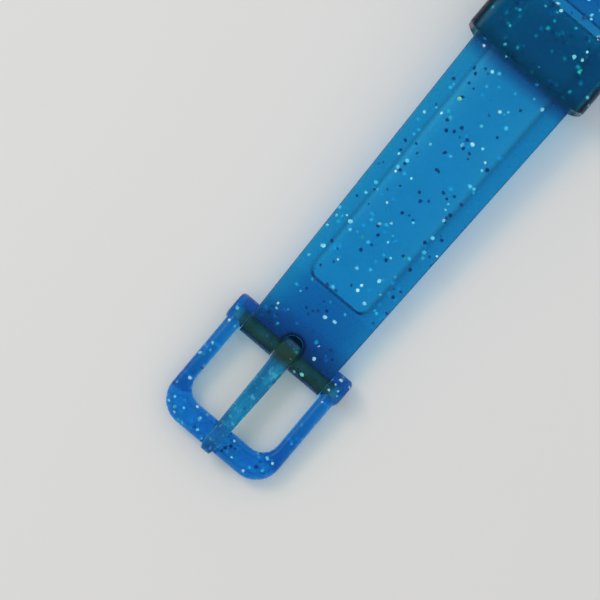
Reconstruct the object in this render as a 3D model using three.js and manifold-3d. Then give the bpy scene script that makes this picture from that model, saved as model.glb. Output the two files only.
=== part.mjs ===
// A child's digital wristwatch, laid open on a table with its case back down.
// A jelly strap in two halves carries a moulded buckle with its prong and pin, and a loose keeper loop.
// The case is a ring closed by a lens and a screwed back, round a liquid-crystal module and its button cell.
// Millimetres, +Z up. The origin is the middle of the case back, and +Y runs towards the buckle.

import * as THREE from "three";
import { mergeVertices } from "three/addons/utils/BufferGeometryUtils.js";
import Module from "manifold-3d";

const wasm = await Module();
wasm.setup();

// Clearances
const HINGE_GAP = 0.2; // round a pin or stem that something moves on
const SEAT_GAP = 0.15; // round a piece that is pressed, glued or screwed in
const SIDE_GAP = 0.3; // between a turning piece and what stands beside it
const CONTACT_GAP = 0.05; // between a spring contact and what it touches

// Strap, both halves
const STRAP_THICKNESS = 2.2;
const STRAP_LUG_WIDTH = 15.4;
const STRAP_END_WIDTH = 12;
const STRAP_EDGE = 0.35; // softened edge along the strap
const PIN_RADIUS = 0.75;
const LUG_BARREL_RADIUS = 1.9;
const LUG_FLARE = 8.5; // over this length the strap thickens into its barrel at the case
const RECESS_WIDTH = 9.5;
const RECESS_DEPTH = 0.7;
const RECESS_CORNER = 1.4;
const RECESS_FROM_LUG = 9;

// Strap half with the buckle
const BUCKLE_SIDE_LENGTH = 62; // lug pin to buckle pin
const END_BARREL_RADIUS = 1.55;
const END_FLARE = 6;
const RECESS_FROM_BUCKLE = 8.9;
const SLOT_REACH = 2.25; // from the buckle pin to the round end of the prong's slot

// Strap half with the holes
const HOLE_SIDE_LENGTH = 92; // lug pin to tip
const TAPER_LENGTH = 34; // from the lug pin to where the width stays the same
const HOLE_COUNT = 7;
const HOLE_PITCH = 6.5;
const HOLE_RADIUS = 1.35;
const FIRST_HOLE_FROM_TIP = 15;
const RECESS_FROM_HOLES = 4;

// Buckle
const ARM_WIDTH = 1.85;
const ARM_SIDE_GAP = 0.25; // between an arm and the side of the strap
const FRAME_THICKNESS = 2.8;
const FRAME_EDGE = 0.6;
const FRAME_DROP = 0.65; // how far the bar lies below the pin
const BAR_FROM_PIN = 11.3; // buckle pin to the near edge of the bar
const BAR_WIDTH = 3.25;
const OUTER_CORNER = 3.4;
const INNER_CORNER = 2.3;
const ARM_STATIONS = 4; // straight steps that follow the curve of an arm
const EAR_RADIUS = 1.82;
const EAR_PROUD = 0.35; // how far an ear stands out beyond its arm
const EAR_CHAMFER = 0.4;
const EAR_END_WALL = 0.65;
const GROOVE_DEPTH = 0.5; // seat for the prong in the bar

// Prong
const PRONG_ROOT_WIDTH = 2.1;
const PRONG_BAR_WIDTH = 1.9; // where it crosses the bar
const PRONG_TIP_WIDTH = 1.35;
const PRONG_HUB_RADIUS = 1.45;
const PRONG_THICKNESS = 1.25;
const PRONG_OVERHANG = 0.5; // tip beyond the bar
const PRONG_NOSE = 0.45; // rounding of the tip
const PRONG_ROOT_DROP = 0.3; // lower face of the prong below the pin axis, at the hub

// Keeper loop
const KEEPER_LENGTH = 8.4;
const KEEPER_FROM_BUCKLE = 43.2; // buckle pin to the near edge
const KEEPER_WALL = 1;
const KEEPER_GAP = 0.2; // round the strap
const KEEPER_CORNER = 1.8;
const KEEPER_EDGE = 0.45;

// Case
const CAVITY_RADIUS = 13.6;
const CASE_WALL = 3.4;
const END_WALL = 2.6; // wall between the cavity and the flat that faces the strap
const CASE_FOOT_CHAMFER = 1.1;
const FLANGE_THICKNESS = 0.85;
const LUG_PIN_HEIGHT = 5.5;
const LUG_WIDTH = 2.4;
const LUG_END_RADIUS = 2.3;
const LUG_ROOT_HEIGHT = 5.2;
const LUG_ROOT_BITE = 1; // how far a lug's root reaches into the wall
const LUG_BORE_DEPTH = 1.6;

// Lens and bezel
const FLANGE_REACH = 2.6; // how far the flange under the lens reaches in over the cavity
const LENS_SEAT = 1.4; // width of the ring that carries the lens
const LENS_EDGE = 1;
const LENS_DOME = 0.7;
const BEZEL_INSET = 0.2; // bezel behind the flats of the case
const BEZEL_HEIGHT = 1.5;
const BEZEL_SLOPE = 1;

// Case back, its gasket and its screws
const BACK_THICKNESS = 1.2;
const BACK_PROUD = 0.5; // how far the back stands below the rim of the case
const BACK_LEDGE = 1.9; // width of the ledge that the back presses on
const GASKET_RADIUS = 0.35;
const GASKET_FROM_CAVITY = 0.95; // cavity wall to the middle of the gasket
const SCREW_ANGLES = [60, 120, 240, 300];
const SCREW_SHANK_RADIUS = 0.7;
const SCREW_LENGTH = 4.3;
const SCREW_HEAD_RADIUS = 1.3;
const SCREW_HEAD_HEIGHT = 0.6;
const SCREW_SUNK = 0.1; // head below the face of the back
const SCREW_SLOT_WIDTH = 0.35;
const SCREW_SLOT_DEPTH = 0.3;
const BOSS_WALL = 0.85;
const BOSS_BITE = 0.1; // how far a screw boss reaches into the case wall

// Module
const CONTACT_THICKNESS = 0.2;
const CLIP_CLEARANCE = 0.3; // case back to the battery clip
const CLIP_WIDTH = 3;
const CELL_RADIUS = 3.95;
const CELL_HEIGHT = 3.6;
const CELL_CAP_RADIUS = 3.3;
const CELL_CAP_HEIGHT = 0.25;
const CELL_EDGE = 0.3;
const CELL_PLAY = 0.3;
const CUP_WALL = 0.75;
const LCD_WIDTH = 19;
const LCD_DEPTH = 13.4;
const LCD_THICKNESS = 1.4;
const MASK_THICKNESS = 0.3;
const MASK_WINDOW_WIDTH = 15.4;
const MASK_WINDOW_DEPTH = 8.4;
const MASK_WINDOW_CORNER = 1.2;
const ZEBRA_LENGTH = 17;
const ZEBRA_WIDTH = 1.5;
const ZEBRA_HEIGHT = 1.6;
const BOARD_THICKNESS = 0.8;
const MODULE_PLAY = 0.5; // round the module in the cavity
const SKIRT_WALL = 1;
const CHIP_RADIUS = 2.1;
const CHIP_HEIGHT = 0.95;
const QUARTZ_RADIUS = 0.9;
const QUARTZ_LENGTH = 5.5;
const CHIP_FROM_RIM = 3.5; // rim of the board to the middle of the chip and the quartz can
const NEGATIVE_LEAF_WIDTH = 2;
const NEGATIVE_LEAF_STEP = 0.25; // cell well to the step of the leaf
const NEGATIVE_FOOT = 1.7;

// Buttons
const BUTTON_HEIGHT = 4.6;
const BUTTON_TRAVEL = 0.8;
const STEM_RADIUS = 1.1;
const STEM_NECK_RADIUS = 0.7;
const STEM_NOSE = 0.5;
const CAP_RADIUS = 2.2;
const CAP_LENGTH = 1.6;
const CAP_ROUND = 0.4;
const CAP_POCKET = 1.4; // depth of the pocket round the cap
const RETAINER_RADIUS = 1.9;
const RETAINER_THICKNESS = 0.4;
const SWITCH_LEAF_WIDTH = 2.2;
const SWITCH_FOOT = 1.8;
const SWITCH_ABOVE_AXIS = 0.9;

// Facets
const ROUND_STEPS = 48; // case, lens and back
const SMALL_STEPS = 16; // pins, bores and screws
const ARC_STEPS = 4; // each corner of an outline
const EDGE_STEPS = 2; // each rounded end edge of an extrusion
const FLARE_STEPS = 6; // each barrel end and flare of a strap
const TIP_STEPS = 8; // half of the strap's round tip
const CUT_MARGIN = 1; // how far a cutting tool runs past what it cuts
const MERGE_DISTANCE = 1e-4;

// Worked out: levels in the case, from the back up
const backTop = BACK_THICKNESS;
const clipLow = backTop + CLIP_CLEARANCE;
const clipHigh = clipLow + CONTACT_THICKNESS;
const cellLow = clipHigh + CONTACT_GAP;
const cellHigh = cellLow + CELL_HEIGHT;
const leafLow = cellHigh + CONTACT_GAP;
const leafHigh = leafLow + CONTACT_THICKNESS;
const lcdLow = leafHigh + CONTACT_GAP;
const lcdHigh = lcdLow + LCD_THICKNESS;
const flangeLow = lcdHigh + MASK_THICKNESS;
const caseTop = flangeLow + FLANGE_THICKNESS;
const boardHigh = lcdLow - ZEBRA_HEIGHT;
const boardLow = boardHigh - BOARD_THICKNESS;

// Worked out: case, lugs and screws in plan
const caseRadius = CAVITY_RADIUS + CASE_WALL;
const caseFlat = CAVITY_RADIUS + END_WALL;
const rabbetRadius = CAVITY_RADIUS + BACK_LEDGE;
const backRadius = rabbetRadius - SEAT_GAP;
const gasketRing = CAVITY_RADIUS + GASKET_FROM_CAVITY;
const lugInner = STRAP_LUG_WIDTH / 2 + SIDE_GAP;
const lugPinY = caseFlat + SIDE_GAP + LUG_BARREL_RADIUS;
const screwHoleRadius = SCREW_SHANK_RADIUS + SEAT_GAP;
const bossRadius = screwHoleRadius + BOSS_WALL;
const screwCircle = CAVITY_RADIUS - bossRadius + BOSS_BITE;
const windowRadius = CAVITY_RADIUS - FLANGE_REACH;
const lensRadius = windowRadius + LENS_SEAT;
const bezelRadius = caseFlat - BEZEL_INSET;

// Worked out: module in plan
const frameRadius = CAVITY_RADIUS - MODULE_PLAY;
const skirtRadius = frameRadius - SKIRT_WALL;
const wellRadius = CELL_RADIUS + CELL_PLAY;
const cupRadius = wellRadius + CUP_WALL;
const boardHole = cupRadius + SIDE_GAP;
const boardRadius = skirtRadius - SIDE_GAP;
const chipPlace = boardRadius - CHIP_FROM_RIM;
const zebraY = LCD_DEPTH / 2 - ZEBRA_WIDTH / 2 - CONTACT_GAP;

// Worked out: buttons along their axis, from the middle of the case
const pocketFloor = caseRadius - CAP_POCKET;
const capInner = pocketFloor + HINGE_GAP + BUTTON_TRAVEL;
const retainerHigh = Math.sqrt(CAVITY_RADIUS ** 2 - RETAINER_RADIUS ** 2) - SEAT_GAP;
const retainerLow = retainerHigh - RETAINER_THICKNESS;
const stemTip = retainerLow - SEAT_GAP - STEM_NOSE;
const switchHigh = stemTip - BUTTON_TRAVEL - CONTACT_GAP;
const switchLow = switchHigh - CONTACT_THICKNESS;
const boardFlat = switchLow - SIDE_GAP;

// Worked out: strap tilt and buckle
const pinBore = PIN_RADIUS + HINGE_GAP;
const pinSeat = PIN_RADIUS + SEAT_GAP;
const bucklePinHeight = FRAME_THICKNESS / 2 + FRAME_DROP;
const buckleTilt = Math.asin((LUG_PIN_HEIGHT - bucklePinHeight) / BUCKLE_SIDE_LENGTH);
const bucklePinY = lugPinY + BUCKLE_SIDE_LENGTH * Math.cos(buckleTilt);
const tipReach = Math.hypot(HOLE_SIDE_LENGTH, STRAP_THICKNESS / 2);
const tipDrop = Math.atan2(STRAP_THICKNESS / 2, HOLE_SIDE_LENGTH);
const holeTilt = Math.asin(LUG_PIN_HEIGHT / tipReach) - tipDrop;
const frameInner = STRAP_END_WIDTH / 2 + ARM_SIDE_GAP;
const frameOuter = frameInner + ARM_WIDTH;
const barOuter = BAR_FROM_PIN + BAR_WIDTH;
const barTop = FRAME_THICKNESS / 2 - FRAME_DROP;
const grooveFloor = barTop - GROOVE_DEPTH;
const earEnd = frameOuter + EAR_PROUD;
const pinHalfLength = earEnd - EAR_END_WALL - SEAT_GAP;

// Finishes
const jelly = () => new THREE.MeshStandardMaterial({ color: 0x1a72b8, roughness: 0.35, metalness: 0 });
const glitterPlastic = () => new THREE.MeshStandardMaterial({ color: 0x1d5fc0, roughness: 0.25, metalness: 0 });
const clearPlastic = () => new THREE.MeshStandardMaterial({ color: 0xdfeaf0, roughness: 0.08, metalness: 0 });
const steel = () => new THREE.MeshStandardMaterial({ color: 0x8f959a, roughness: 0.3, metalness: 1 });
const whitePlastic = () => new THREE.MeshStandardMaterial({ color: 0xe9ecee, roughness: 0.5, metalness: 0 });
const printedCard = () => new THREE.MeshStandardMaterial({ color: 0xbfe3f4, roughness: 0.6, metalness: 0 });
const displayGlass = () => new THREE.MeshStandardMaterial({ color: 0x9aa690, roughness: 0.15, metalness: 0 });
const darkRubber = () => new THREE.MeshStandardMaterial({ color: 0x2c2f33, roughness: 0.8, metalness: 0 });
const greenBoard = () => new THREE.MeshStandardMaterial({ color: 0x1f6b3a, roughness: 0.5, metalness: 0 });
const blackResin = () => new THREE.MeshStandardMaterial({ color: 0x15161a, roughness: 0.4, metalness: 0 });
const copperAlloy = () => new THREE.MeshStandardMaterial({ color: 0xc9a45c, roughness: 0.35, metalness: 1 });

// A closed solid from a three.js geometry, with its shared corners merged and its empty faces left out.
function solidOf(geometry) {
  const bare = geometry.clone();
  bare.deleteAttribute("normal");
  bare.deleteAttribute("uv");
  const merged = mergeVertices(bare, MERGE_DISTANCE);
  const corners = merged.index.array;
  const kept = [];
  for (let i = 0; i < corners.length; i += 3) {
    const [a, b, c] = corners.slice(i, i + 3);
    if (a !== b && b !== c && c !== a) {
      kept.push(a, b, c);
    }
  }
  const vertProperties = new Float32Array(merged.attributes.position.array);
  const mesh = new wasm.Mesh({ numProp: 3, vertProperties, triVerts: new Uint32Array(kept) });
  return new wasm.Manifold(mesh);
}

function joined(first, ...others) {
  return others.reduce((whole, other) => whole.add(other), first);
}

function cut(body, ...tools) {
  return tools.reduce((rest, tool) => rest.subtract(tool), body);
}

// One named mesh in the scene graph.
function addPiece(parent, name, solid, finish) {
  const { vertProperties, triVerts } = solid.getMesh();
  const shared = new THREE.BufferGeometry();
  shared.setAttribute("position", new THREE.BufferAttribute(new Float32Array(vertProperties), 3));
  shared.setIndex(new THREE.BufferAttribute(new Uint32Array(triVerts), 1));
  const faceted = shared.toNonIndexed();
  faceted.computeVertexNormals();
  const piece = new THREE.Mesh(faceted, finish());
  piece.name = name;
  parent.add(piece);
}

// A block between two corners.
function block(low, high) {
  const size = high.map((value, i) => value - low[i]);
  const middle = high.map((value, i) => (value + low[i]) / 2);
  return solidOf(new THREE.BoxGeometry(...size).translate(...middle));
}

// Round bars along Z and along X.
function rodZ(radius, low, high, [x, y], steps = SMALL_STEPS) {
  const bar = new THREE.CylinderGeometry(radius, radius, high - low, steps);
  return solidOf(bar.rotateX(Math.PI / 2).translate(x, y, (low + high) / 2));
}

function rodX(radius, low, high, [y, z], steps = SMALL_STEPS) {
  const bar = new THREE.CylinderGeometry(radius, radius, high - low, steps);
  return solidOf(bar.rotateZ(-Math.PI / 2).translate((low + high) / 2, y, z));
}

// A profile of [radius, height] pairs, counter-clockwise, turned about Z or about X.
function turned(profile, steps) {
  const points = profile.map(([radius, height]) => new THREE.Vector2(radius, height));
  return new THREE.LatheGeometry([...points, points[0]], steps);
}

function turnedZ(profile, steps = ROUND_STEPS) {
  return solidOf(turned(profile, steps).rotateX(Math.PI / 2));
}

function turnedX(profile, [y, z], steps = SMALL_STEPS) {
  return solidOf(turned(profile, steps).rotateZ(-Math.PI / 2).translate(0, y, z));
}

// An outline extruded between two levels, with its end edges rounded off by edge.
function extruded(shape, low, high, edge) {
  const options = {
    depth: high - low - 2 * edge,
    bevelEnabled: edge > 0,
    bevelSize: edge,
    bevelThickness: edge,
    bevelOffset: -edge,
    bevelSegments: EDGE_STEPS,
    curveSegments: ARC_STEPS,
  };
  return new THREE.ExtrudeGeometry(shape, options).translate(0, 0, low + edge);
}

// Outlines in XY extruded up, in YZ extruded along X, and in XZ extruded along Y.
function extrudedZ(shape, low, high, edge = 0) {
  return extruded(shape, low, high, edge);
}

function extrudedX(shape, low, high, edge = 0) {
  const turn = new THREE.Matrix4().makeBasis(
    new THREE.Vector3(0, 1, 0),
    new THREE.Vector3(0, 0, 1),
    new THREE.Vector3(1, 0, 0),
  );
  return extruded(shape, low, high, edge).applyMatrix4(turn);
}

function extrudedY(shape, low, high, edge = 0) {
  return extruded(shape, -high, -low, edge).rotateX(Math.PI / 2);
}

// A closed outline through corner points.
function outline(points) {
  return new THREE.Shape(points.map(([x, y]) => new THREE.Vector2(x, y)));
}

// A rectangle with round corners, about its middle.
function roundedRectangle(width, height, corner, [x, y] = [0, 0]) {
  const right = width / 2 - corner;
  const top = height / 2 - corner;
  const shape = new THREE.Shape();
  shape.absarc(x + right, y - top, corner, -Math.PI / 2, 0);
  shape.absarc(x + right, y + top, corner, 0, Math.PI / 2);
  shape.absarc(x - right, y + top, corner, Math.PI / 2, Math.PI);
  shape.absarc(x - right, y - top, corner, Math.PI, 1.5 * Math.PI);
  return shape;
}

// Moves every point of a geometry by a rule.
function reshaped(geometry, rule) {
  const place = geometry.attributes.position;
  const point = new THREE.Vector3();
  for (let i = 0; i < place.count; i += 1) {
    rule(point.fromBufferAttribute(place, i));
    place.setXYZ(i, point.x, point.y, point.z);
  }
  return geometry;
}

// A skin over rings of points, one ring after the other. The first and the last ring have no area.
function lofted(rings) {
  const count = rings[0].length;
  const faces = [];
  for (let i = 0; i + 1 < rings.length; i += 1) {
    for (let k = 0; k < count; k += 1) {
      const next = (k + 1) % count;
      const [a, b, c, d] = [i * count + k, i * count + next, (i + 1) * count + next, (i + 1) * count + k];
      faces.push(a, d, c, a, c, b);
    }
  }
  const skin = new THREE.BufferGeometry();
  skin.setAttribute("position", new THREE.Float32BufferAttribute(rings.flat(2), 3));
  skin.setIndex(faces);
  return solidOf(skin);
}

// Strap width at a distance from the lug pin, narrowing evenly over the taper.
function strapWidth(along, taper) {
  const share = Math.min(along / taper, 1);
  return STRAP_LUG_WIDTH + (STRAP_END_WIDTH - STRAP_LUG_WIDTH) * share;
}

// One cross-section of a strap: a rectangle with softened corners.
function strapRing([along, halfWidth, halfThickness]) {
  const edge = Math.min(STRAP_EDGE, halfWidth, halfThickness);
  const [w, h] = [halfWidth, halfThickness];
  const corners = [
    [w, edge - h],
    [w, h - edge],
    [w - edge, h],
    [edge - w, h],
    [-w, h - edge],
    [-w, edge - h],
    [edge - w, -h],
    [w - edge, -h],
  ];
  return corners.map(([x, z]) => [x, along, z]);
}

// Distances from a pin and half-thicknesses there: a round barrel end, then an S-curve down to the flat strap.
function barrelStations(radius, flare) {
  const flat = STRAP_THICKNESS / 2;
  const shares = Array.from({ length: FLARE_STEPS + 1 }, (_, i) => i / FLARE_STEPS);
  const round = shares.map((share) => {
    const turn = (share * Math.PI) / 2;
    return [-radius * Math.cos(turn), radius * Math.sin(turn)];
  });
  const curve = shares.slice(1).map((share) => {
    const eased = THREE.MathUtils.smoothstep(share, 0, 1);
    return [flare * share, THREE.MathUtils.lerp(radius, flat, eased)];
  });
  return [...round, ...curve];
}

// The shallow panel on the underside, between two distances from the lug pin.
function strapRecess(from, to) {
  const panel = roundedRectangle(RECESS_WIDTH, to - from, RECESS_CORNER, [0, (from + to) / 2]);
  const level = RECESS_DEPTH - STRAP_THICKNESS / 2;
  return solidOf(extrudedZ(panel, level - RECESS_DEPTH - CUT_MARGIN, level));
}

// Strap half with the buckle: a barrel at each end, and a slot for the prong.
function buckleSideStrap() {
  const end = BUCKLE_SIDE_LENGTH;
  const fromLug = barrelStations(LUG_BARREL_RADIUS, LUG_FLARE);
  const fromPin = barrelStations(END_BARREL_RADIUS, END_FLARE);
  const stations = [...fromLug, ...fromPin.reverse().map(([along, half]) => [end - along, half])];
  const rings = stations.map(([along, half]) => strapRing([along, strapWidth(along, end) / 2, half]));
  const reach = STRAP_LUG_WIDTH / 2 + CUT_MARGIN;
  return cut(
    lofted(rings),
    rodX(pinBore, -reach, reach, [0, 0]),
    rodX(pinBore, -reach, reach, [end, 0]),
    prongSlot(),
    strapRecess(RECESS_FROM_LUG, end - RECESS_FROM_BUCKLE),
  );
}

// The slot runs from a round end above the buckle pin out through the end of the strap.
function prongSlot() {
  const half = PRONG_ROOT_WIDTH / 2 + SIDE_GAP;
  const roundAt = BUCKLE_SIDE_LENGTH - SLOT_REACH + half;
  const open = BUCKLE_SIDE_LENGTH + END_BARREL_RADIUS + CUT_MARGIN;
  const slot = new THREE.Shape();
  slot.moveTo(half, open);
  slot.lineTo(-half, open);
  slot.absarc(0, roundAt, half, Math.PI, 2 * Math.PI);
  const reach = END_BARREL_RADIUS + CUT_MARGIN;
  return solidOf(extrudedZ(slot, -reach, reach));
}

// Strap half with the holes: one barrel, a row of holes and a round tip.
function holeSideStrap() {
  const flat = STRAP_THICKNESS / 2;
  const tipHalf = STRAP_END_WIDTH / 2;
  const tipStart = HOLE_SIDE_LENGTH - tipHalf;
  const body = [...barrelStations(LUG_BARREL_RADIUS, LUG_FLARE), [TAPER_LENGTH, flat]];
  const rings = body.map(([along, half]) => strapRing([along, strapWidth(along, TAPER_LENGTH) / 2, half]));
  for (let i = 0; i <= TIP_STEPS; i += 1) {
    const turn = (i / TIP_STEPS) * (Math.PI / 2);
    rings.push(strapRing([tipStart + tipHalf * Math.sin(turn), tipHalf * Math.cos(turn), flat]));
  }
  const reach = STRAP_LUG_WIDTH / 2 + CUT_MARGIN;
  const firstHole = HOLE_SIDE_LENGTH - FIRST_HOLE_FROM_TIP;
  const lastHole = firstHole - (HOLE_COUNT - 1) * HOLE_PITCH;
  const holes = Array.from({ length: HOLE_COUNT }, (_, i) =>
    rodZ(HOLE_RADIUS, -reach, reach, [0, firstHole - i * HOLE_PITCH]),
  );
  return cut(
    lofted(rings),
    rodX(pinBore, -reach, reach, [0, 0]),
    strapRecess(RECESS_FROM_LUG, lastHole - HOLE_RADIUS - RECESS_FROM_HOLES),
    ...holes,
  );
}

// Height of the buckle's middle layer at a distance from the pin: it sinks smoothly towards the bar.
function buckleSink(along) {
  const share = THREE.MathUtils.smoothstep(along, 0, BAR_FROM_PIN);
  return -FRAME_DROP * share;
}

// One straight side of the buckle, in even steps that can follow the bend of the arm.
function armSide(shape, x, from, to) {
  for (let i = 1; i <= ARM_STATIONS; i += 1) {
    shape.lineTo(x, from + ((to - from) * i) / ARM_STATIONS);
  }
}

// Buckle frame: a U with round corners and softened edges, bent towards the bar, with an ear on each arm.
function buckleFrame() {
  const outerTurn = barOuter - OUTER_CORNER;
  const innerTurn = BAR_FROM_PIN - INNER_CORNER;
  const outerX = frameOuter - OUTER_CORNER;
  const innerX = frameInner - INNER_CORNER;
  const plan = new THREE.Shape();
  plan.moveTo(frameOuter, 0);
  armSide(plan, frameOuter, 0, outerTurn);
  plan.absarc(outerX, outerTurn, OUTER_CORNER, 0, Math.PI / 2);
  plan.absarc(-outerX, outerTurn, OUTER_CORNER, Math.PI / 2, Math.PI);
  armSide(plan, -frameOuter, outerTurn, 0);
  plan.lineTo(-frameInner, 0);
  armSide(plan, -frameInner, 0, innerTurn);
  plan.absarc(-innerX, innerTurn, INNER_CORNER, Math.PI, Math.PI / 2, true);
  plan.absarc(innerX, innerTurn, INNER_CORNER, Math.PI / 2, 0, true);
  armSide(plan, frameInner, innerTurn, 0);
  const half = FRAME_THICKNESS / 2;
  const flat = extrudedZ(plan, -half, half, FRAME_EDGE);
  const bent = solidOf(reshaped(flat, (p) => (p.z += buckleSink(p.y))));
  const bore = pinHalfLength + SEAT_GAP;
  return cut(
    joined(bent, buckleEar(1), buckleEar(-1)),
    rodX(pinSeat, -bore, bore, [0, 0]),
    prongGroove(),
  );
}

// An ear: a short barrel round the pin, chamfered at its outer end.
function buckleEar(side) {
  const ends = [
    [EAR_RADIUS, side * frameInner],
    [EAR_RADIUS, side * (earEnd - EAR_CHAMFER)],
    [EAR_RADIUS - EAR_CHAMFER, side * earEnd],
  ];
  const profile = [[0, side * frameInner], ...ends, [0, side * earEnd]];
  return turnedX(side > 0 ? profile : profile.reverse(), [0, 0]);
}

// The groove across the top of the bar that the prong drops into.
function prongGroove() {
  const half = PRONG_BAR_WIDTH / 2 + SIDE_GAP;
  const past = FRAME_THICKNESS + CUT_MARGIN;
  return block([-half, BAR_FROM_PIN - CUT_MARGIN, grooveFloor], [half, barOuter + CUT_MARGIN, past]);
}

// Prong: a hub round the pin and a bar that narrows to a blunt nose over the buckle's bar.
function buckleProng() {
  const low = grooveFloor + SEAT_GAP;
  const high = low + PRONG_THICKNESS;
  const rootHigh = PRONG_THICKNESS;
  const tip = barOuter + PRONG_OVERHANG;
  const side = new THREE.Shape();
  side.moveTo(0, -PRONG_ROOT_DROP);
  side.lineTo(BAR_FROM_PIN - CUT_MARGIN, low);
  side.lineTo(tip - PRONG_NOSE, low);
  side.quadraticCurveTo(tip, low, tip, (low + high) / 2);
  side.quadraticCurveTo(tip, high, tip - PRONG_NOSE, high);
  side.lineTo(BAR_FROM_PIN, high);
  side.lineTo(0, rootHigh);
  const hubHalf = PRONG_ROOT_WIDTH / 2;
  const bar = solidOf(extrudedX(side, -hubHalf, hubHalf));
  const hub = rodX(PRONG_HUB_RADIUS, -hubHalf, hubHalf, [0, 0]);
  const reach = FRAME_THICKNESS + PRONG_HUB_RADIUS;
  const plan = solidOf(extrudedZ(prongPlan(tip), -reach, reach));
  return cut(joined(bar, hub).intersect(plan), rodX(pinBore, -FRAME_THICKNESS, FRAME_THICKNESS, [0, 0]));
}

// Half-widths of the prong from behind its hub to its nose.
function prongPlan(tip) {
  const root = PRONG_ROOT_WIDTH / 2 + CUT_MARGIN;
  const hub = PRONG_HUB_RADIUS;
  const middle = PRONG_BAR_WIDTH / 2;
  const nose = PRONG_TIP_WIDTH / 2;
  const shape = new THREE.Shape();
  shape.moveTo(-root, -hub - CUT_MARGIN);
  shape.lineTo(root, -hub - CUT_MARGIN);
  shape.lineTo(root, hub);
  shape.lineTo(PRONG_ROOT_WIDTH / 2, hub);
  shape.lineTo(middle, BAR_FROM_PIN);
  shape.lineTo(middle, barOuter - PRONG_NOSE);
  shape.quadraticCurveTo(middle, tip, nose - PRONG_NOSE, tip + PRONG_NOSE / 2);
  shape.lineTo(PRONG_NOSE - nose, tip + PRONG_NOSE / 2);
  shape.quadraticCurveTo(-middle, tip, -middle, barOuter - PRONG_NOSE);
  shape.lineTo(-middle, BAR_FROM_PIN);
  shape.lineTo(-PRONG_ROOT_WIDTH / 2, hub);
  shape.lineTo(-root, hub);
  return shape;
}

// Keeper: a loop that hangs on the strap, with room for the other strap half under it.
function keeperLoop() {
  const near = BUCKLE_SIDE_LENGTH - KEEPER_FROM_BUCKLE;
  const far = near - KEEPER_LENGTH;
  const innerWidth = strapWidth(far, BUCKLE_SIDE_LENGTH) + 2 * KEEPER_GAP;
  const innerHeight = 2 * STRAP_THICKNESS + KEEPER_GAP;
  const top = STRAP_THICKNESS / 2 + KEEPER_GAP;
  const middle = top - innerHeight / 2;
  const outerWidth = innerWidth + 2 * KEEPER_WALL;
  const outerHeight = innerHeight + 2 * KEEPER_WALL;
  const section = roundedRectangle(outerWidth, outerHeight, KEEPER_CORNER, [0, middle]);
  const corner = Math.max(KEEPER_CORNER - KEEPER_WALL, STRAP_EDGE);
  section.holes.push(roundedRectangle(innerWidth, innerHeight, corner, [0, middle]));
  return solidOf(extrudedY(section, far, near, KEEPER_EDGE));
}

// Case: a ring with a flange for the lens, a rabbet for the back, lugs, screw bosses and button bores.
function caseBody() {
  const rim = BACK_PROUD;
  const foot = caseRadius - CASE_FOOT_CHAMFER;
  const shoulder = caseRadius - bezelRadius;
  const grooveHalf = GASKET_RADIUS + SEAT_GAP;
  const grooveTop = backTop + 2 * GASKET_RADIUS + CONTACT_GAP;
  const ring = turnedZ([
    [CAVITY_RADIUS, backTop],
    [gasketRing - grooveHalf, backTop],
    [gasketRing - grooveHalf, grooveTop],
    [gasketRing + grooveHalf, grooveTop],
    [gasketRing + grooveHalf, backTop],
    [rabbetRadius, backTop],
    [rabbetRadius, rim],
    [foot, rim],
    [caseRadius, rim + CASE_FOOT_CHAMFER],
    [caseRadius, caseTop - shoulder],
    [bezelRadius, caseTop],
    [windowRadius, caseTop],
    [windowRadius, flangeLow],
    [CAVITY_RADIUS, flangeLow],
  ]);
  const past = caseRadius + CUT_MARGIN;
  const flats = [-1, 1].map((end) => {
    const sides = [end * caseFlat, end * past].sort((a, b) => a - b);
    return block([-lugInner, sides[0], -CUT_MARGIN], [lugInner, sides[1], caseTop + CUT_MARGIN]);
  });
  const body = joined(cut(ring, ...flats), ...screwBosses(), ...lugs());
  return cut(body, ...screwHoles(), ...lugBores(), ...buttonBores());
}

// Centres of the screws.
function screwPlaces() {
  return SCREW_ANGLES.map((angle) => {
    const turn = THREE.MathUtils.degToRad(angle);
    return [screwCircle * Math.cos(turn), screwCircle * Math.sin(turn)];
  });
}

function screwBosses() {
  return screwPlaces().map((place) => rodZ(bossRadius, backTop, lcdHigh - SEAT_GAP, place));
}

function screwHoles() {
  const depth = BACK_PROUD + SCREW_LENGTH + SIDE_GAP;
  return screwPlaces().map((place) => rodZ(screwHoleRadius, backTop - CUT_MARGIN, backTop + depth, place));
}

// Four lugs, each a rounded horn outside the strap.
function lugs() {
  const root = Math.sqrt(CAVITY_RADIUS ** 2 - lugInner ** 2) + LUG_ROOT_BITE;
  const half = LUG_ROOT_HEIGHT / 2;
  return [-1, 1].flatMap((end) => {
    const side = new THREE.Shape();
    side.moveTo(end * root, LUG_PIN_HEIGHT - half);
    side.lineTo(end * lugPinY, LUG_PIN_HEIGHT - LUG_END_RADIUS);
    side.absarc(end * lugPinY, LUG_PIN_HEIGHT, LUG_END_RADIUS, -Math.PI / 2, Math.PI / 2, end < 0);
    side.lineTo(end * root, LUG_PIN_HEIGHT + half);
    const outer = lugInner + LUG_WIDTH;
    return [
      solidOf(extrudedX(side, lugInner, outer)),
      solidOf(extrudedX(side, -outer, -lugInner)),
    ];
  });
}

function lugBores() {
  const half = lugInner + LUG_BORE_DEPTH;
  return [-1, 1].map((end) => rodX(pinSeat, -half, half, [end * lugPinY, LUG_PIN_HEIGHT]));
}

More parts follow.
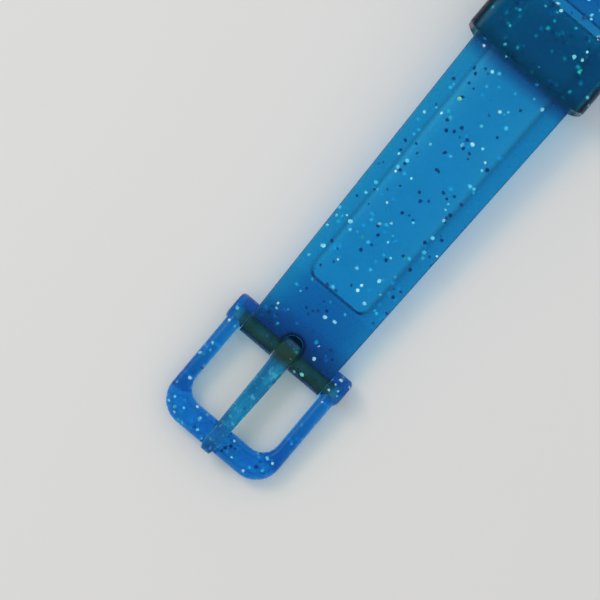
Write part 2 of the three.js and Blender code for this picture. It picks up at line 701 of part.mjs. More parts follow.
// A bore for each button's stem, with a pocket round its cap.
function buttonBores() {
  const past = caseRadius + CUT_MARGIN;
  const inside = skirtRadius - CUT_MARGIN;
  const axis = [0, BUTTON_HEIGHT];
  return [-1, 1].flatMap((side) => {
    const bore = [side * inside, side * past].sort((a, b) => a - b);
    const pocket = [side * pocketFloor, side * past].sort((a, b) => a - b);
    return [
      rodX(STEM_RADIUS + HINGE_GAP, ...bore, axis),
      rodX(CAP_RADIUS + SIDE_GAP, ...pocket, axis),
    ];
  });
}

// Case back: a chamfered plate with countersunk seats for the screws.
function caseBack() {
  const plate = turnedZ([
    [0, 0],
    [backRadius - BACK_PROUD, 0],
    [backRadius, BACK_PROUD],
    [backRadius, backTop],
    [0, backTop],
  ]);
  const seat = SCREW_SUNK + SCREW_HEAD_HEIGHT;
  const holes = screwPlaces().flatMap((place) => [
    rodZ(screwHoleRadius, -CUT_MARGIN, backTop + CUT_MARGIN, place),
    rodZ(SCREW_HEAD_RADIUS + SEAT_GAP, -CUT_MARGIN, seat, place),
  ]);
  return cut(plate, ...holes);
}

function caseGasket() {
  const ring = new THREE.TorusGeometry(gasketRing, GASKET_RADIUS, 2 * ARC_STEPS, ROUND_STEPS);
  return solidOf(ring.translate(0, 0, backTop + GASKET_RADIUS));
}

// A screw with a flat head and a cross recess.
function caseScrew([x, y]) {
  const headTop = SCREW_SUNK + SCREW_HEAD_HEIGHT;
  const tip = headTop + SCREW_LENGTH;
  const screw = turnedZ(
    [
      [0, SCREW_SUNK],
      [SCREW_HEAD_RADIUS, SCREW_SUNK],
      [SCREW_HEAD_RADIUS, headTop],
      [SCREW_SHANK_RADIUS, headTop],
      [SCREW_SHANK_RADIUS, tip - SCREW_SHANK_RADIUS],
      [0, tip],
    ],
    SMALL_STEPS,
  );
  const half = SCREW_SLOT_WIDTH / 2;
  const long = SCREW_HEAD_RADIUS - SCREW_SLOT_WIDTH;
  const floor = SCREW_SUNK + SCREW_SLOT_DEPTH;
  const across = block([-long, -half, -CUT_MARGIN], [long, half, floor]);
  const along = block([-half, -long, -CUT_MARGIN], [half, long, floor]);
  return cut(screw, across, along).translate([x, y, 0]);
}

// Lens: a disc with a gently domed top.
function lens() {
  const edge = caseTop + LENS_EDGE;
  const shape = new THREE.Shape();
  shape.moveTo(0, caseTop);
  shape.lineTo(lensRadius, caseTop);
  shape.lineTo(lensRadius, edge);
  shape.quadraticCurveTo(lensRadius / 2, edge + LENS_DOME, 0, edge + LENS_DOME);
  const profile = shape.getPoints(ARC_STEPS).map((p) => [p.x, p.y]);
  return turnedZ(profile);
}

// Bezel: a sloping ring that holds the lens down.
function bezelRing() {
  const inner = lensRadius + SEAT_GAP;
  const top = caseTop + BEZEL_HEIGHT;
  return turnedZ([
    [inner, caseTop],
    [bezelRadius, caseTop],
    [bezelRadius, top - BEZEL_SLOPE],
    [bezelRadius - BEZEL_SLOPE, top],
    [inner + BEZEL_SLOPE / 2, top],
    [inner, top - BEZEL_SLOPE / 2],
  ]);
}

// Face mask: a printed disc under the flange, with a window for the display.
function faceMask() {
  const disc = new THREE.Shape();
  disc.absarc(0, 0, CAVITY_RADIUS - SEAT_GAP, 0, 2 * Math.PI);
  disc.holes.push(roundedRectangle(MASK_WINDOW_WIDTH, MASK_WINDOW_DEPTH, MASK_WINDOW_CORNER));
  const options = { depth: MASK_THICKNESS, bevelEnabled: false, curveSegments: ROUND_STEPS / 4 };
  return solidOf(new THREE.ExtrudeGeometry(disc, options).translate(0, 0, lcdHigh));
}

function displayPlate() {
  const half = [LCD_WIDTH / 2, LCD_DEPTH / 2];
  return block([-half[0], -half[1], lcdLow], [half[0], half[1], lcdHigh]);
}

function zebraStrip(side) {
  const half = [ZEBRA_LENGTH / 2, ZEBRA_WIDTH / 2];
  const y = side * zebraY;
  return block([-half[0], y - half[1], boardHigh], [half[0], y + half[1], lcdLow]);
}

// Module frame: a cup that carries display, contact strips, board and cell, and stands on the case back.
function moduleFrame() {
  const shell = turnedZ([
    [0, boardHigh],
    [skirtRadius, boardHigh],
    [skirtRadius, backTop],
    [frameRadius, backTop],
    [frameRadius, lcdHigh],
    [0, lcdHigh],
  ]);
  const cup = rodZ(cupRadius, cellLow + SEAT_GAP, lcdLow, [0, 0], 2 * SMALL_STEPS);
  const well = rodZ(wellRadius, cellLow - CUT_MARGIN, lcdLow + CONTACT_GAP, [0, 0], 2 * SMALL_STEPS);
  const pocket = [LCD_WIDTH / 2 + SEAT_GAP, LCD_DEPTH / 2 + SEAT_GAP];
  const window = block([-pocket[0], -pocket[1], lcdLow], [pocket[0], pocket[1], lcdHigh + CUT_MARGIN]);
  return cut(
    joined(shell, cup),
    well,
    window,
    ...zebraSlots(),
    ...bossNotches(),
    ...switchSlots(),
    negativeLeafSlot(),
  );
}

function zebraSlots() {
  const half = [ZEBRA_LENGTH / 2 + SEAT_GAP, ZEBRA_WIDTH / 2 + SEAT_GAP];
  return [-1, 1].map((side) => {
    const y = side * zebraY;
    const low = boardHigh - CONTACT_GAP;
    const high = lcdLow + CONTACT_GAP;
    return block([-half[0], y - half[1], low], [half[0], y + half[1], high]);
  });
}

function bossNotches() {
  return screwPlaces().map((place) =>
    rodZ(bossRadius + SIDE_GAP, backTop - CUT_MARGIN, lcdHigh + CUT_MARGIN, place),
  );
}

// Openings in the module's side for the button stems, their retainers and the switch leaves.
function switchSlots() {
  const half = RETAINER_RADIUS + SIDE_GAP;
  const past = frameRadius + CUT_MARGIN;
  return [-1, 1].map((side) => {
    const ends = [side * boardFlat, side * past].sort((a, b) => a - b);
    return block([ends[0], -half, BUTTON_HEIGHT - half], [ends[1], half, BUTTON_HEIGHT + half]);
  });
}

function negativeLeafSlot() {
  const half = NEGATIVE_LEAF_WIDTH / 2 + SIDE_GAP;
  const far = wellRadius + NEGATIVE_LEAF_STEP + NEGATIVE_FOOT + SIDE_GAP;
  return block([0, -half, boardHigh - CONTACT_GAP], [far, half, lcdLow + CONTACT_GAP]);
}

// Circuit board: a disc with a hole for the cell cup, cut back at the bosses and at the switch leaves.
function circuitBoard() {
  const disc = rodZ(boardRadius, boardLow, boardHigh, [0, 0], ROUND_STEPS);
  const hole = rodZ(boardHole, boardLow - CUT_MARGIN, boardHigh + CUT_MARGIN, [0, 0], 2 * SMALL_STEPS);
  const half = RETAINER_RADIUS + SIDE_GAP;
  const flats = [-1, 1].map((side) => {
    const ends = [side * boardFlat, side * caseRadius].sort((a, b) => a - b);
    return block([ends[0], -half, boardLow - CUT_MARGIN], [ends[1], half, boardHigh + CUT_MARGIN]);
  });
  return cut(disc, hole, ...bossNotches(), ...flats);
}

// Chip: a drop of black resin under the board.
function chipBlob() {
  const shape = new THREE.Shape();
  shape.moveTo(0, -CHIP_HEIGHT);
  shape.quadraticCurveTo(CHIP_RADIUS, -CHIP_HEIGHT, CHIP_RADIUS, 0);
  shape.lineTo(0, 0);
  const profile = shape.getPoints(ARC_STEPS).map((p) => [p.x, p.y + boardLow]);
  return turnedZ(profile, SMALL_STEPS).translate([0, -chipPlace, 0]);
}

function quartzCan() {
  const half = QUARTZ_LENGTH / 2;
  return rodX(QUARTZ_RADIUS, -half, half, [chipPlace, boardLow - QUARTZ_RADIUS - CONTACT_GAP]);
}

// Button cell: a can with a rounded foot and a narrower cap on top.
function buttonCell() {
  const neck = cellHigh - CELL_CAP_HEIGHT;
  const profile = [
    [0, cellLow],
    [CELL_RADIUS - CELL_EDGE, cellLow],
    [CELL_RADIUS, cellLow + CELL_EDGE],
    [CELL_RADIUS, neck - CELL_EDGE],
    [CELL_RADIUS - CELL_EDGE, neck],
    [CELL_CAP_RADIUS, neck],
    [CELL_CAP_RADIUS, cellHigh],
    [0, cellHigh],
  ];
  return turnedZ(profile, 2 * SMALL_STEPS);
}

// Battery clip: a spring strip under the cell with a leg up each side of its cup.
function batteryClip() {
  const inner = cupRadius + SIDE_GAP;
  const outer = inner + CONTACT_THICKNESS;
  const top = boardLow - CONTACT_GAP;
  const strip = outline([
    [-outer, clipLow],
    [outer, clipLow],
    [outer, top],
    [inner, top],
    [inner, clipHigh],
    [-inner, clipHigh],
    [-inner, top],
    [-outer, top],
  ]);
  return solidOf(extrudedY(strip, -CLIP_WIDTH / 2, CLIP_WIDTH / 2));
}

// Negative contact: a stepped leaf from the top of the cell down to the board.
function negativeLeaf() {
  const step = wellRadius + NEGATIVE_LEAF_STEP;
  const riser = step + CONTACT_THICKNESS;
  const foot = step + NEGATIVE_FOOT;
  const footLow = boardHigh + CONTACT_GAP;
  const footHigh = footLow + CONTACT_THICKNESS;
  const leaf = outline([
    [0, leafLow],
    [step, leafLow],
    [step, footLow],
    [foot, footLow],
    [foot, footHigh],
    [riser, footHigh],
    [riser, leafHigh],
    [0, leafHigh],
  ]);
  return solidOf(extrudedY(leaf, -NEGATIVE_LEAF_WIDTH / 2, NEGATIVE_LEAF_WIDTH / 2));
}

// Switch leaf: soldered under the board and standing in front of a button's stem.
function switchLeaf(side) {
  const high = boardLow - CONTACT_GAP;
  const low = high - CONTACT_THICKNESS;
  const foot = switchHigh - SWITCH_FOOT;
  const top = BUTTON_HEIGHT + SWITCH_ABOVE_AXIS;
  const bend = [
    [foot, low],
    [switchHigh, low],
    [switchHigh, top],
    [switchLow, top],
    [switchLow, high],
    [foot, high],
  ];
  const half = SWITCH_LEAF_WIDTH / 2;
  const leaf = outline(bend.map(([x, z]) => [side * x, z]));
  return solidOf(extrudedY(leaf, -half, half));
}

// Button: a rounded cap on a stem with a neck for its retainer.
function pushButton(side) {
  const capEnd = capInner + CAP_LENGTH;
  const profile = [
    [0, stemTip],
    [STEM_RADIUS, stemTip],
    [STEM_RADIUS, retainerLow - SEAT_GAP],
    [STEM_NECK_RADIUS, retainerLow - SEAT_GAP],
    [STEM_NECK_RADIUS, retainerHigh + SEAT_GAP],
    [STEM_RADIUS, retainerHigh + SEAT_GAP],
    [STEM_RADIUS, capInner],
    [CAP_RADIUS, capInner],
    [CAP_RADIUS, capEnd - CAP_ROUND],
    [CAP_RADIUS - CAP_ROUND, capEnd],
    [0, capEnd],
  ];
  return turnedX(mirroredProfile(profile, side), [0, BUTTON_HEIGHT]);
}

// Retainer: an open ring round the neck of a stem, which keeps the button in its bore.
function buttonRetainer(side) {
  const inner = STEM_NECK_RADIUS + SEAT_GAP;
  const profile = [
    [inner, retainerLow],
    [RETAINER_RADIUS, retainerLow],
    [RETAINER_RADIUS, retainerHigh],
    [inner, retainerHigh],
  ];
  const ring = turnedX(mirroredProfile(profile, side), [0, BUTTON_HEIGHT]);
  const past = caseRadius;
  const mouth = block([-past, -inner, BUTTON_HEIGHT], [past, inner, BUTTON_HEIGHT + past]);
  return cut(ring, mouth);
}

// A profile along +X, or turned round for the button on the other side.
function mirroredProfile(profile, side) {
  return side > 0 ? profile : profile.map(([radius, x]) => [radius, -x]).reverse();
}

// The case and what it holds.
function addCase(watch) {
  addPiece(watch, "case_body", caseBody(), glitterPlastic);
  addPiece(watch, "bezel_ring", bezelRing(), glitterPlastic);
  addPiece(watch, "lens", lens(), clearPlastic);
  addPiece(watch, "face_mask", faceMask(), printedCard);
  addPiece(watch, "display_glass", displayPlate(), displayGlass);
  addPiece(watch, "zebra_strip_upper", zebraStrip(1), darkRubber);
  addPiece(watch, "zebra_strip_lower", zebraStrip(-1), darkRubber);
  addPiece(watch, "module_frame", moduleFrame(), whitePlastic);
  addPiece(watch, "circuit_board", circuitBoard(), greenBoard);
  addPiece(watch, "chip_blob", chipBlob(), blackResin);
  addPiece(watch, "quartz_can", quartzCan(), steel);
  addPiece(watch, "button_cell", buttonCell(), steel);
  addPiece(watch, "battery_clip", batteryClip(), copperAlloy);
  addPiece(watch, "negative_leaf", negativeLeaf(), copperAlloy);
  addPiece(watch, "back_gasket", caseGasket(), darkRubber);
  addPiece(watch, "case_back", caseBack(), steel);
  screwPlaces().forEach((place, i) => addPiece(watch, `back_screw_${i + 1}`, caseScrew(place), steel));
  for (const [name, side] of [["set", 1], ["mode", -1]]) {
    addPiece(watch, `${name}_button`, pushButton(side), glitterPlastic);
    addPiece(watch, `${name}_retainer`, buttonRetainer(side), steel);
    addPiece(watch, `${name}_switch_leaf`, switchLeaf(side), copperAlloy);
  }
  const half = lugInner + LUG_BORE_DEPTH - SEAT_GAP;
  for (const [name, end] of [["buckle", 1], ["hole", -1]]) {
    const pin = rodX(PIN_RADIUS, -half, half, [end * lugPinY, LUG_PIN_HEIGHT]);
    addPiece(watch, `${name}_side_lug_pin`, pin, steel);
  }
}

// The half of the strap with the buckle, sloping down from its lugs to the table.
function addBuckleSide(watch) {
  const strap = new THREE.Group();
  strap.position.set(0, lugPinY, LUG_PIN_HEIGHT);
  strap.rotation.x = -buckleTilt;
  addPiece(strap, "buckle_side_strap", buckleSideStrap(), jelly);
  addPiece(strap, "keeper_loop", keeperLoop(), jelly);
  const buckle = new THREE.Group();
  buckle.position.set(0, bucklePinY, bucklePinHeight);
  addPiece(buckle, "buckle_frame", buckleFrame(), glitterPlastic);
  addPiece(buckle, "buckle_pin", rodX(PIN_RADIUS, -pinHalfLength, pinHalfLength, [0, 0]), steel);
  addPiece(buckle, "buckle_prong", buckleProng(), glitterPlastic);
  watch.add(strap, buckle);
}

// The half of the strap with the holes, turned to the other side and resting on its tip.
function addHoleSide(watch) {
  const strap = new THREE.Group();
  strap.position.set(0, -lugPinY, LUG_PIN_HEIGHT);
  strap.rotation.set(holeTilt, 0, Math.PI);
  addPiece(strap, "hole_side_strap", holeSideStrap(), jelly);
  watch.add(strap);
}

const watch = new THREE.Group();
addCase(watch);
addBuckleSide(watch);
addHoleSide(watch);

export default watch;
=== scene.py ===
# %% [markdown]
# # A child's jelly watch
# This lesson dresses a packed watch. The solids give every place and size; here each soft or shiny piece
# gets a finer skin, worked out with numpy as a surface over two parameters, and a finish made of nodes. The
# strap, buckle and case are clear blue plastic with glitter in it, so most of the look comes from light
# that goes through them.

# %% Load the solids
import math

import bmesh
import bpy
import numpy as np
from mathutils import Matrix, Vector


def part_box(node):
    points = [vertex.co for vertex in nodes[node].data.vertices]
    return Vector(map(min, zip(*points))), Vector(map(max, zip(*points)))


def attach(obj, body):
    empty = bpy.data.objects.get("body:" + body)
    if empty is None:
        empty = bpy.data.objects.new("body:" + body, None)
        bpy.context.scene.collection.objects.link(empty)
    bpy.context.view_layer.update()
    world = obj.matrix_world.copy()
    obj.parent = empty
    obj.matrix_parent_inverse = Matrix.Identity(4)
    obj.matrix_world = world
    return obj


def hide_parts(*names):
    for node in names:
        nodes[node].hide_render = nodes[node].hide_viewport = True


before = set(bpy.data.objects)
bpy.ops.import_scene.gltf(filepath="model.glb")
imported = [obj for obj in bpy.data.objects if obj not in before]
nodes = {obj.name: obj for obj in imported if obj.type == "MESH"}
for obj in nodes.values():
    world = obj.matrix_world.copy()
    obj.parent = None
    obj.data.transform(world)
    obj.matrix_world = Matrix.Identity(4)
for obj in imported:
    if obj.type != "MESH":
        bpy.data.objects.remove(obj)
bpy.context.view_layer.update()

# %% [markdown]
# The sizes are in millimetres, as on a drawing, and are turned into metres only where a mesh is filled. The
# two lug pins and the buckle pin say where the strap halves hang, so these places are read from the solids.

# %% Places read from the solids
MM = 0.001


def middle(node):
    """Middle of a solid's box, in millimetres."""
    low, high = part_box(node)
    return (np.array(low) + np.array(high)) / 2 / MM


def reach(node):
    """Size of a solid's box along X, Y and Z, in millimetres."""
    low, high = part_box(node)
    return (np.array(high) - np.array(low)) / MM


lug_pin = middle("buckle_side_lug_pin")
far_lug_pin = middle("hole_side_lug_pin")
buckle_pin = middle("buckle_pin")
buckle_side_length = np.hypot(*(buckle_pin - lug_pin)[1:])
strap_slope = math.atan2(lug_pin[2] - buckle_pin[2], buckle_pin[1] - lug_pin[1])
print(f"buckle side: {buckle_side_length:.2f} mm, slope {math.degrees(strap_slope):.2f} degrees")

# %% [markdown]
# Three helpers turn arrays into pieces. `skin` joins rows of points into a closed surface, `settle` moves
# points from a strap's own frame to where the strap lies, and `carved` joins or cuts pieces. A cut is the
# one thing that a grid of points can't do by itself, so slots, holes and lugs use a Boolean, and its result
# is kept as a plain mesh.

# %% Helpers for meshes
SHARP_ANGLE = math.radians(38)
WELD = 1e-7
CUT_BEYOND = 1.0  # how far a cutting block reaches past what it cuts


def placed(name, data):
    """New object in the scene, at the origin."""
    thing = bpy.data.objects.new(name, data)
    bpy.context.scene.collection.objects.link(thing)
    return thing


def smoothed(piece):
    """Smooth shading, with the real corners kept sharp."""
    piece.data.shade_smooth()
    piece.data.set_sharp_from_angle(angle=SHARP_ANGLE)


def filled(name, points, faces):
    """Closed piece from points in millimetres and lists of point numbers, welded, with its faces outwards."""
    mesh = bpy.data.meshes.new(name)
    mesh.from_pydata((points * MM).tolist(), [], faces)
    shape = bmesh.new()
    shape.from_mesh(mesh)
    bmesh.ops.remove_doubles(shape, verts=shape.verts, dist=WELD)
    bmesh.ops.recalc_face_normals(shape, faces=shape.faces)
    shape.to_mesh(mesh)
    shape.free()
    piece = placed(name, mesh)
    smoothed(piece)
    return piece


def skin(name, rows, capped=True):
    """Piece from rows of points in millimetres; each row closes on itself, and the ends are capped."""
    count, around, _ = rows.shape
    number = np.arange(count * around).reshape(count, around)
    beside = np.roll(number, -1, axis=1)
    faces = np.stack([number[:-1], beside[:-1], beside[1:], number[1:]], axis=-1).reshape(-1, 4).tolist()
    if capped:
        faces += [number[0][::-1].tolist(), number[-1].tolist()]
    return filled(name, rows.reshape(-1, 3), faces)


def carved(piece, tools, operation):
    """Joins tools to a piece (UNION) or cuts them out of it (DIFFERENCE), and removes the tools."""
    for tool in tools:
        step = piece.modifiers.new("carve", "BOOLEAN")
        step.solver = "MANIFOLD"
        step.operation = operation
        step.object = tool
    held = bpy.context.evaluated_depsgraph_get()
    mesh = bpy.data.meshes.new_from_object(piece.evaluated_get(held))
    piece.modifiers.clear()
    piece.data = mesh
    for tool in tools:
        bpy.data.objects.remove(tool)
    smoothed(piece)


def strap_turn(slope, flip):
    """Turn from a strap's own frame (Y along it, Z up) to how it lies; flip faces it the other way."""
    turn = Matrix.Rotation(slope if flip else -slope, 3, "X")
    if flip:
        turn = turn @ Matrix.Rotation(math.pi, 3, "Z")
    return np.array(turn)


def settle(rows, place, slope, flip=False):
    """Points of a strap's own frame turned down by slope at place."""
    return rows @ strap_turn(slope, flip).T + place


def dressed(piece, body, slot, material, *replaced):
    """Gives a piece its finish, its body and the solids that it stands for; the slot is not used."""
    piece.data.materials.clear()
    piece.data.materials.append(material)
    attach(piece, body)
    if replaced:
        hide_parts(*replaced)
    print(piece.name, len(piece.data.polygons), "faces")


# %% [markdown]
# Most shapes here are one of three grids. A section with round edges is carried along a line, as for strap,
# keeper and buckle. A side view is carried from face to face, as for prong and lugs. A profile is turned
# about an axis, as for case, pins and buttons. Each grid is a formula over whole arrays.

# %% Helpers for sections and side views
EDGE_STEPS = 6


def even(start, end, pitch):
    """Even stations from start to end, about one pitch apart."""
    return np.linspace(start, end, max(2, math.ceil((end - start) / pitch) + 1))


def soft_step(share):
    """S-curve 3 s^2 - 2 s^3, with s held between 0 and 1."""
    share = np.clip(share, 0, 1)
    return share * share * (3 - 2 * share)


def arc(start, end, steps):
    """Points (cos t, sin t) of a circle of radius 1, at even angles."""
    turn = np.linspace(start, end, steps)
    return np.column_stack([np.cos(turn), np.sin(turn)])


def circle(steps):
    """Such points all round."""
    return arc(0, 2 * np.pi, steps + 1)[:-1]


def section_ring(places, edge_steps=EDGE_STEPS):
    """One turn round a section with round edges, given rows of numbers that place the points along its top.

    A row of the ring is a place and then b, c, d: shares of the half-height and of the edge, across and up.
    """
    cos, sin = arc(0, np.pi / 2, edge_steps + 2)[1:-1].T
    top, edge, down = np.ones(len(places)), np.ones(edge_steps), np.array([1, 0, -1])
    b = np.concatenate([top, edge, down, -edge])
    c = np.concatenate([0 * top, sin, np.ones_like(down), sin[::-1]])
    d = np.concatenate([top, cos, 0 * down, -cos[::-1]])
    place = np.concatenate([places, np.repeat(places[-1:], len(b) - len(places), axis=0)])
    half = np.column_stack([place, b, c, d])
    return np.concatenate([half, -half])


def rounded_path(width, height, corner, steps):
    """Points and outward normals round a rectangle with round corners."""
    normal = np.concatenate([arc(q, q + np.pi / 2, steps) for q in np.pi / 2 * np.arange(4)])
    quarter = np.repeat([[1, 1], [-1, 1], [-1, -1], [1, -1]], steps, axis=0)
    return quarter * [width / 2 - corner, height / 2 - corner] + corner * normal, normal


def unit(arrows):
    """Arrows made one long."""
    return arrows / np.linalg.norm(arrows, axis=-1, keepdims=True)


def drawn_in(outline, half, edge, inner_steps=2):
    """Places across from -half to half, and at each the outline, drawn in by e(1 - cos t) for round edges."""
    turn = np.linspace(0, np.pi / 2, EDGE_STEPS)
    out = half - edge + edge * np.sin(turn)
    flat = np.linspace(-out[0], out[0], inner_steps)[1:-1]
    drawn = edge * (1 - np.cos(np.concatenate([turn[::-1], 0 * flat, turn])))
    tangent = unit(np.roll(outline, -1, axis=0) - np.roll(outline, 1, axis=0))
    inward = np.stack([-tangent[:, 1], tangent[:, 0]], axis=-1)
    return np.concatenate([-out[::-1], flat, out]), outline + inward * drawn[:, None, None]


def prism(outline, low, high):
    """A plan carried upright from one level to another, as two rows."""
    levels = np.broadcast_to(np.array([low, high], float)[:, None, None], (2, len(outline), 1))
    return np.concatenate([np.broadcast_to(outline, (2, *np.shape(outline))), levels], axis=-1)


def box_rows(low, high):
    """A block between two corners."""
    plan = [(low[0], low[1]), (high[0], low[1]), (high[0], high[1]), (low[0], high[1])]
    return prism(plan, low[2], high[2])


# %% [markdown]
# A moulded edge is never sharp. `eased` cuts each corner of a profile back by a radius and puts an arc in,
# and the highlight that runs along such an arc is what makes plastic look moulded.

# %% Helpers for turned shapes
ROUND_STEPS = 48
TURN_STEPS = 128
EASE_STEPS = 5


def turned_z(profile, place=(0, 0, 0), steps=TURN_STEPS):
    """A profile of (radius, height) turned about the upright axis: x = r cos t, y = r sin t."""
    radius, height = np.array(profile, float).T[..., None]
    x, y = (radius * side for side in circle(steps).T)
    return np.stack([x, y, np.broadcast_to(height, x.shape)], axis=-1) + place


def turned_x(profile, place=(0, 0, 0)):
    """A profile of (x, radius) turned about the X axis: y = r cos t, z = r sin t."""
    upright = turned_z(np.array(profile, float)[:, ::-1], steps=ROUND_STEPS)
    return np.roll(upright, 1, axis=-1) + place


def eased(profile, radius):
    """Profile with its inner corners rounded by arcs that touch both sides at equal distances."""
    points = np.array(profile, float)
    share = np.linspace(0, 1, EASE_STEPS)[:, None]
    rounded = [points[:1]]
    for before, corner, after in zip(points, points[1:], points[2:]):
        back, ahead = before - corner, after - corner
        back_length, ahead_length = np.linalg.norm(back), np.linalg.norm(ahead)
        cut = min(radius, min(back_length, ahead_length) / 2)
        first = corner + cut * back / back_length
        last = corner + cut * ahead / ahead_length
        rounded.append((1 - share) ** 2 * first + 2 * share * (1 - share) * corner + share**2 * last)
    return np.concatenate([*rounded, points[-1:]])


def ring_piece(name, profile, radius):
    """A ring from a closed profile: the profile's end is joined to its start."""
    outline = eased([profile[-1], *profile, profile[0]], radius)[1:-1]
    return skin(name, turned_z(np.concatenate([outline, outline[:1]])), capped=False)


# %% [markdown]
# Every finish is one Principled shader with a few nodes before it. Patterns read Object coordinates, which
# are the watch's own metres, so a speck of 0.2 mm stays 0.2 mm on each piece. These helpers make the nodes
# that all finishes share: places, sums, noise, colour ramps and bumps.

# %% Helpers for nodes
NOISE_SPAN = (0.3, 0.7)  # most of a noise lies between these
WIDE_SPAN = (0.35, 0.65)
COLOUR_A, COLOUR_B, COLOUR_OUT = 6, 7, 2  # the Mix node's sockets for colours
EVEN = (1, 1, 1)
WHITE = (1.0, 1.0, 1.0)


def fresh(name):
    """New material: its node tree, its Principled shader and its output."""
    material = bpy.data.materials.new(name)
    material.use_nodes = True
    tree = material.node_tree
    tree.nodes.clear()
    output = tree.nodes.new("ShaderNodeOutputMaterial")
    shader = tree.nodes.new("ShaderNodeBsdfPrincipled")
    tree.links.new(shader.outputs["BSDF"], output.inputs["Surface"])
    return material, tree, shader, output


def feed(tree, made, inputs):
    """Feeds a node's inputs, by name or number, with other nodes' outputs, colours or numbers."""
    for key, value in dict(inputs).items():
        if isinstance(value, bpy.types.NodeSocket):
            tree.links.new(value, made.inputs[key])
        else:
            made.inputs[key].default_value = (*value, 1) if isinstance(value, tuple) else value


def new_node(tree, kind, output=0, inputs=(), **settings):
    """One output of a new node, with its settings made and its inputs fed."""
    made = tree.nodes.new(f"ShaderNode{kind}")
    for name, value in settings.items():
        setattr(made, name, value)
    feed(tree, made, inputs)
    return made.outputs[output]


def calc(tree, operation, *values):
    """A Math node on sockets or plain numbers."""
    return new_node(tree, "Math", 0, enumerate(values), operation=operation)


def hypotenuse(tree, first, second):
    """Square root of the sum of two squares."""
    squares = [calc(tree, "MULTIPLY", side, side) for side in (first, second)]
    return calc(tree, "SQRT", calc(tree, "ADD", *squares))


def place_parts(tree, output="Object"):
    """X, Y and Z of a point's place, or of its normal, in the watch's own frame."""
    place = new_node(tree, "TexCoord", output)
    return [new_node(tree, "SeparateXYZ", axis, {"Vector": place}) for axis in "XYZ"]


def noise(tree, size_mm, detail=3, stretch=EVEN):
    """Noise whose patches are about size_mm wide; a stretch below 1 makes them longer along that axis."""
    scale = [s / (size_mm * MM) for s in stretch]
    place = new_node(tree, "Mapping", 0, {"Vector": new_node(tree, "TexCoord", "Object"), "Scale": scale})
    return new_node(tree, "TexNoise", "Fac", {"Vector": place, "Scale": 1, "Detail": detail})


def mapped(tree, value, start, end, low, high, blend="LINEAR"):
    """A number that goes from low to high as value goes from start to end."""
    inputs = {"Value": value, "From Min": start, "From Max": end, "To Min": low, "To Max": high}
    return new_node(tree, "MapRange", "Result", inputs, interpolation_type=blend)


def step_below(tree, value, limit, soft):
    """1 where value is under limit, with a soft edge."""
    return mapped(tree, value, limit - soft, limit + soft, 1, 0, "SMOOTHSTEP")


def ramp(tree, share, *stops):
    """Colour for a share from 0 to 1, through stops of (share, colour)."""
    made = tree.nodes.new("ShaderNodeValToRGB")
    marks = made.color_ramp.elements
    while len(marks) < len(stops):
        marks.new(0.5)
    for mark, (at, colour) in zip(marks, stops):
        mark.position = at
        mark.color = (*colour, 1)
    feed(tree, made, {"Fac": share})
    return made.outputs["Color"]


def mixed(tree, share, first, second, blend="MIX"):
    """Colour that goes from first to second; each is a socket or a plain colour."""
    inputs = {"Factor": share, COLOUR_A: first, COLOUR_B: second}
    return new_node(tree, "Mix", COLOUR_OUT, inputs, data_type="RGBA", blend_type=blend)


def shaded(tree, colour, share, stops):
    """Colour times a ramp over a share."""
    return mixed(tree, 1, colour, ramp(tree, share, *stops), "MULTIPLY")


def relief(tree, height, depth_mm):
    """Normals of bumps that are about depth_mm high."""
    return new_node(tree, "Bump", 0, {"Strength": 1, "Distance": depth_mm * MM, "Height": height})


def by_ray(tree, kinds, other, chosen):
    """Mix of two shaders: chosen for rays of these kinds, and other for the rest."""
    share = 0
    for kind in kinds:
        share = calc(tree, "MAXIMUM", share, new_node(tree, "LightPath", kind))
    return new_node(tree, "MixShader", 0, enumerate((share, other, chosen)))


# %% [markdown]
# Two functions make nearly all finishes. The first is for solid stuff: two tones mixed by a noise, and a
# roughness that varies too, because nothing real is evenly glossy.
#
# The second is for jelly plastic, which takes its colour inside, not on its surface: red light is lost in
# the first millimetre, green later and blue hardly at all. A volume that absorbs does just that, so the
# thin panel comes out light and the thick end deep; painted shade in the strap's colour deepens the end.
# Lamps would not shine through a refracting surface, so for shadow rays it is plainly transparent, and the
# shadow on the table turns blue as it does beside the real strap.

# %% Solid and clear finishes
PLASTIC_IOR = 1.5
GLOSS_PATCH = 0.6
CLOUD_STRETCH = (1, 0.35, 1)
CLOUD_DETAIL = 4
DENT_DETAIL = 2
LAMP_RAYS = ("Is Shadow Ray", "Is Diffuse Ray")


def solid_finish(
    name,
    cloud,
    tones,
    gloss,
    grain=None,
    span=NOISE_SPAN,
    relief_mm=0,
    metal=0,
    specular=0.5,
    shade=None,
):
    """A finish of two tones; cloud and grain are noises, as (size, detail, stretch).

    The cloud mixes the tones, and shade changes the colour that results. The grain, or else the cloud, makes
    the relief and spreads the roughness over gloss, unless gloss is one number.
    """
    material, tree, shader, _ = fresh(name)
    clouds = noise(tree, *cloud)
    grains = noise(tree, *grain) if grain else clouds
    colour = ramp(tree, clouds, *zip(span, tones))
    inputs = {"Metallic": metal, "Specular IOR Level": specular}
    inputs["Base Color"] = shade(tree, colour) if shade else colour
    inputs["Roughness"] = mapped(tree, grains, *NOISE_SPAN, *gloss) if isinstance(gloss, tuple) else gloss
    if relief_mm:
        inputs["Normal"] = relief(tree, grains, relief_mm)
    feed(tree, shader, inputs)
    return material


